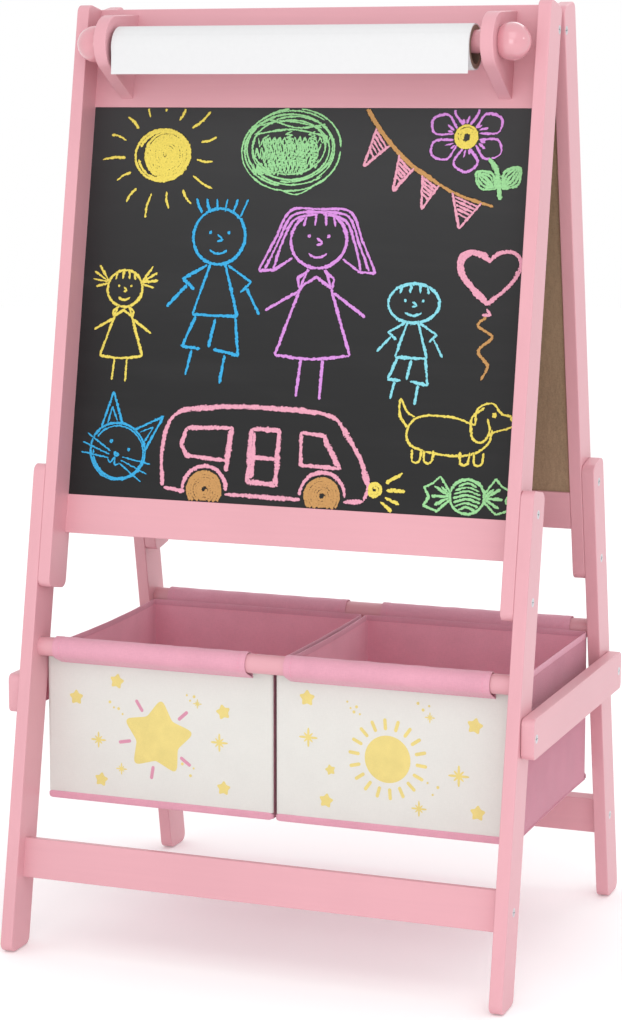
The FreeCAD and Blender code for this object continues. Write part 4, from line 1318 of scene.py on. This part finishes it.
def draw_sweet(page):
    """A wrapped sweet: a hatched ball between two twisted fans."""
    sweet = page("chalk_sweet", (214, 431), ["green"])
    sweet.line(arc((0, 0), (20, 19), 0, 375, 44), 0.9)
    for number in range(7):
        height = -13 + 4.4 * number
        reach = math.sqrt(max(18 ** 2 - height ** 2, 9)) - 2
        sweet.line(bend((-reach, height + 2), (0, height - 2), (reach, height + 2), count=14), 0.7)
    for side in (-1, 1):
        fan = [(side * 19, -3), (side * 32, -21), (side * 40, -13), (side * 50, -8), (side * 44, 2),
               (side * 50, 12), (side * 34, 18), (side * 19, 4)]
        sweet.line(fan, 0.75)
        sweet.lines([[(side * 21, 0), (side * 38, -10)], [(side * 21, 1), (side * 41, 1)],
                     [(side * 21, 2), (side * 37, 11)], [(side * 20, 0), (side * 30, -10)]], 1.0)
    sweet.finish()


def draw_all(colours, chalk):
    """All the drawings on the front board."""
    board = chalk_page(colours, chalk)
    seeds = iter(range(100, 140))

    def page(name, centre, names, turn=0):
        return Chalk(name, board, chalk, names, centre, next(seeds), turn)

    draw_sun(page)
    draw_scribble(page)
    draw_bunting(page)
    draw_flower(page)
    draw_balloon(page)
    draw_child(page, "chalk_tall_child", (-102, 213), "blue", 1.03, (1.04, 1.08), "short", False)
    draw_child(page, "chalk_long_haired_child", (20, 219), "lilac", 1.1, (1.02, 1.0), "long", True)
    draw_child(page, "chalk_little_child", (138, 262), "pale_blue", 0.69, (1.45, 1.1), "fringe", False)
    draw_child(page, "chalk_pigtailed_child", (-216, 253), "yellow", 0.66, (1.12, 1.12), "tails", True)
    draw_cat(page)
    draw_bus(page)
    draw_dog(page)
    draw_sweet(page)


# ---- stage -----------------------------------------------------------------------------------
def floor_finish(colour):
    """Plain pale floor with the least unevenness in its sheen."""
    finish = Finish("studio_floor", specular_ior_level=0.1, emission_color=(1, 1, 1),
                    emission_strength=0.12)
    cloud = finish.noise(3.0, 2.0)
    return finish.done(base_color=finish.tones(cloud, colour, 0.99, 1.01),
                       roughness=finish.stretch(cloud, 0.3, 0.7, 0.8, 0.9))


def soft_light(name, place, target, width, power):
    """A square soft box that faces its target."""
    data = bpy.data.lights.new(name, "AREA")
    data.shape = "SQUARE"
    data.size = width
    data.energy = power
    lamp = bpy.data.objects.new(name, data)
    aim = np.array(target, float) - np.array(place, float)
    lamp.location = place
    lamp.rotation_euler = (math.atan2(math.hypot(aim[0], aim[1]), -aim[2]), 0, math.atan2(-aim[0], aim[1]))
    bpy.context.scene.collection.objects.link(lamp)


def build_stage(stage):
    """Floor, soft studio light and the camera."""
    scene = bpy.context.scene
    work = Patchwork()
    radius = np.linspace(0.02, 9.0, 24)[:, None]
    angle = np.linspace(0, 2 * math.pi, 96, endpoint=False)[None, :]
    grid = lattice(radius * np.cos(angle), radius * np.sin(angle), -1.0 * MM)
    work.join(np.arange(96)[None, :])
    work.add(grid, grid[..., :2], grid_faces(24, 96, wrap=True))
    work.piece("studio_floor", [floor_finish(stage.floor)])
    world = bpy.data.worlds.new("studio")
    world.use_nodes = True
    background = world.node_tree.nodes["Background"].inputs
    background["Color"].default_value, background["Strength"].default_value = (1, 1, 1, 1), 1.0
    scene.world = world
    soft_light("key_light", (0.9, -2.2, 2.6), (0, 0, 0.5), 2.0, 14)
    soft_light("front_light", (0.8, -3.4, 0.9), (0, 0, 0.35), 1.6, 19)
    soft_light("back_light", (0.6, 2.6, 2.2), (0, 0, 0.5), 2.0, 12)
    soft_light("glint_light", (3.2, -0.1, 1.8), (0.25, -0.07, 1.0), 0.15, 3)
    scene.view_settings.view_transform = "Standard"
    scene.view_settings.look = "None"
    data = bpy.data.cameras.new("camera")
    data.lens = stage.lens
    data.sensor_width = 36
    data.shift_x, data.shift_y = stage.camera_shift
    data.clip_end = 50
    camera = bpy.data.objects.new("camera", data)
    camera.location = stage.camera_place
    camera.rotation_euler = stage.camera_turn
    scene.collection.objects.link(camera)
    scene.camera = camera


# ---- add-on ----------------------------------------------------------------------------------
class EASEL_OT_finishes(bpy.types.Operator):
    """Give the wood, boards, metal and paper their finishes"""
    bl_idname = "easel.finishes"
    bl_label = "Finishes"

    def execute(self, context):
        dress_nodes(context.scene.easel_finishes)
        return {"FINISHED"}


class EASEL_OT_bins(bpy.types.Operator):
    """Build the two cloth bins"""
    bl_idname = "easel.bins"
    bl_label = "Cloth bins"

    def execute(self, context):
        build_bins(context.scene.easel_bins)
        return {"FINISHED"}


class EASEL_OT_paper(bpy.types.Operator):
    """Build the loose end of the paper roll"""
    bl_idname = "easel.paper"
    bl_label = "Loose paper"

    def execute(self, context):
        loose_paper(context.scene.easel_finishes)
        return {"FINISHED"}


class EASEL_OT_chalk(bpy.types.Operator):
    """Draw on the chalkboard"""
    bl_idname = "easel.chalk"
    bl_label = "Chalk drawings"

    def execute(self, context):
        draw_all(context.scene.easel_finishes, context.scene.easel_chalk)
        return {"FINISHED"}


class EASEL_OT_stage(bpy.types.Operator):
    """Set up the floor, the light and the camera"""
    bl_idname = "easel.stage"
    bl_label = "Stage"

    def execute(self, context):
        build_stage(context.scene.easel_stage)
        return {"FINISHED"}


OPERATORS = (EASEL_OT_finishes, EASEL_OT_bins, EASEL_OT_paper, EASEL_OT_chalk, EASEL_OT_stage)
SETTINGS = {
    "easel_finishes": EaselFinishes,
    "easel_bins": EaselBins,
    "easel_chalk": EaselChalk,
    "easel_stage": EaselStage,
}


class EASEL_PT_panel(bpy.types.Panel):
    """Lists the easel's operators and settings"""
    bl_idname = "EASEL_PT_panel"
    bl_label = "Kids Easel"
    bl_space_type = "VIEW_3D"
    bl_region_type = "UI"
    bl_category = "Easel"

    def draw(self, context):
        for operator in OPERATORS:
            self.layout.operator(operator.bl_idname)
        for name, group in SETTINGS.items():
            box = self.layout.box()
            for field in group.__annotations__:
                box.prop(getattr(context.scene, name), field)


def register():
    for group in SETTINGS.values():
        bpy.utils.register_class(group)
    for operator in OPERATORS:
        bpy.utils.register_class(operator)
    bpy.utils.register_class(EASEL_PT_panel)
    for name, group in SETTINGS.items():
        setattr(bpy.types.Scene, name, bpy.props.PointerProperty(type=group))


def unregister():
    for name in SETTINGS:
        delattr(bpy.types.Scene, name)
    bpy.utils.unregister_class(EASEL_PT_panel)
    for operator in reversed(OPERATORS):
        bpy.utils.unregister_class(operator)
    for group in SETTINGS.values():
        bpy.utils.unregister_class(group)


def main():
    register()
    bpy.ops.easel.stage()
    bpy.ops.easel.finishes()
    bpy.ops.easel.bins()
    bpy.ops.easel.paper()
    bpy.ops.easel.chalk()


if __name__ == "__main__":
    main()
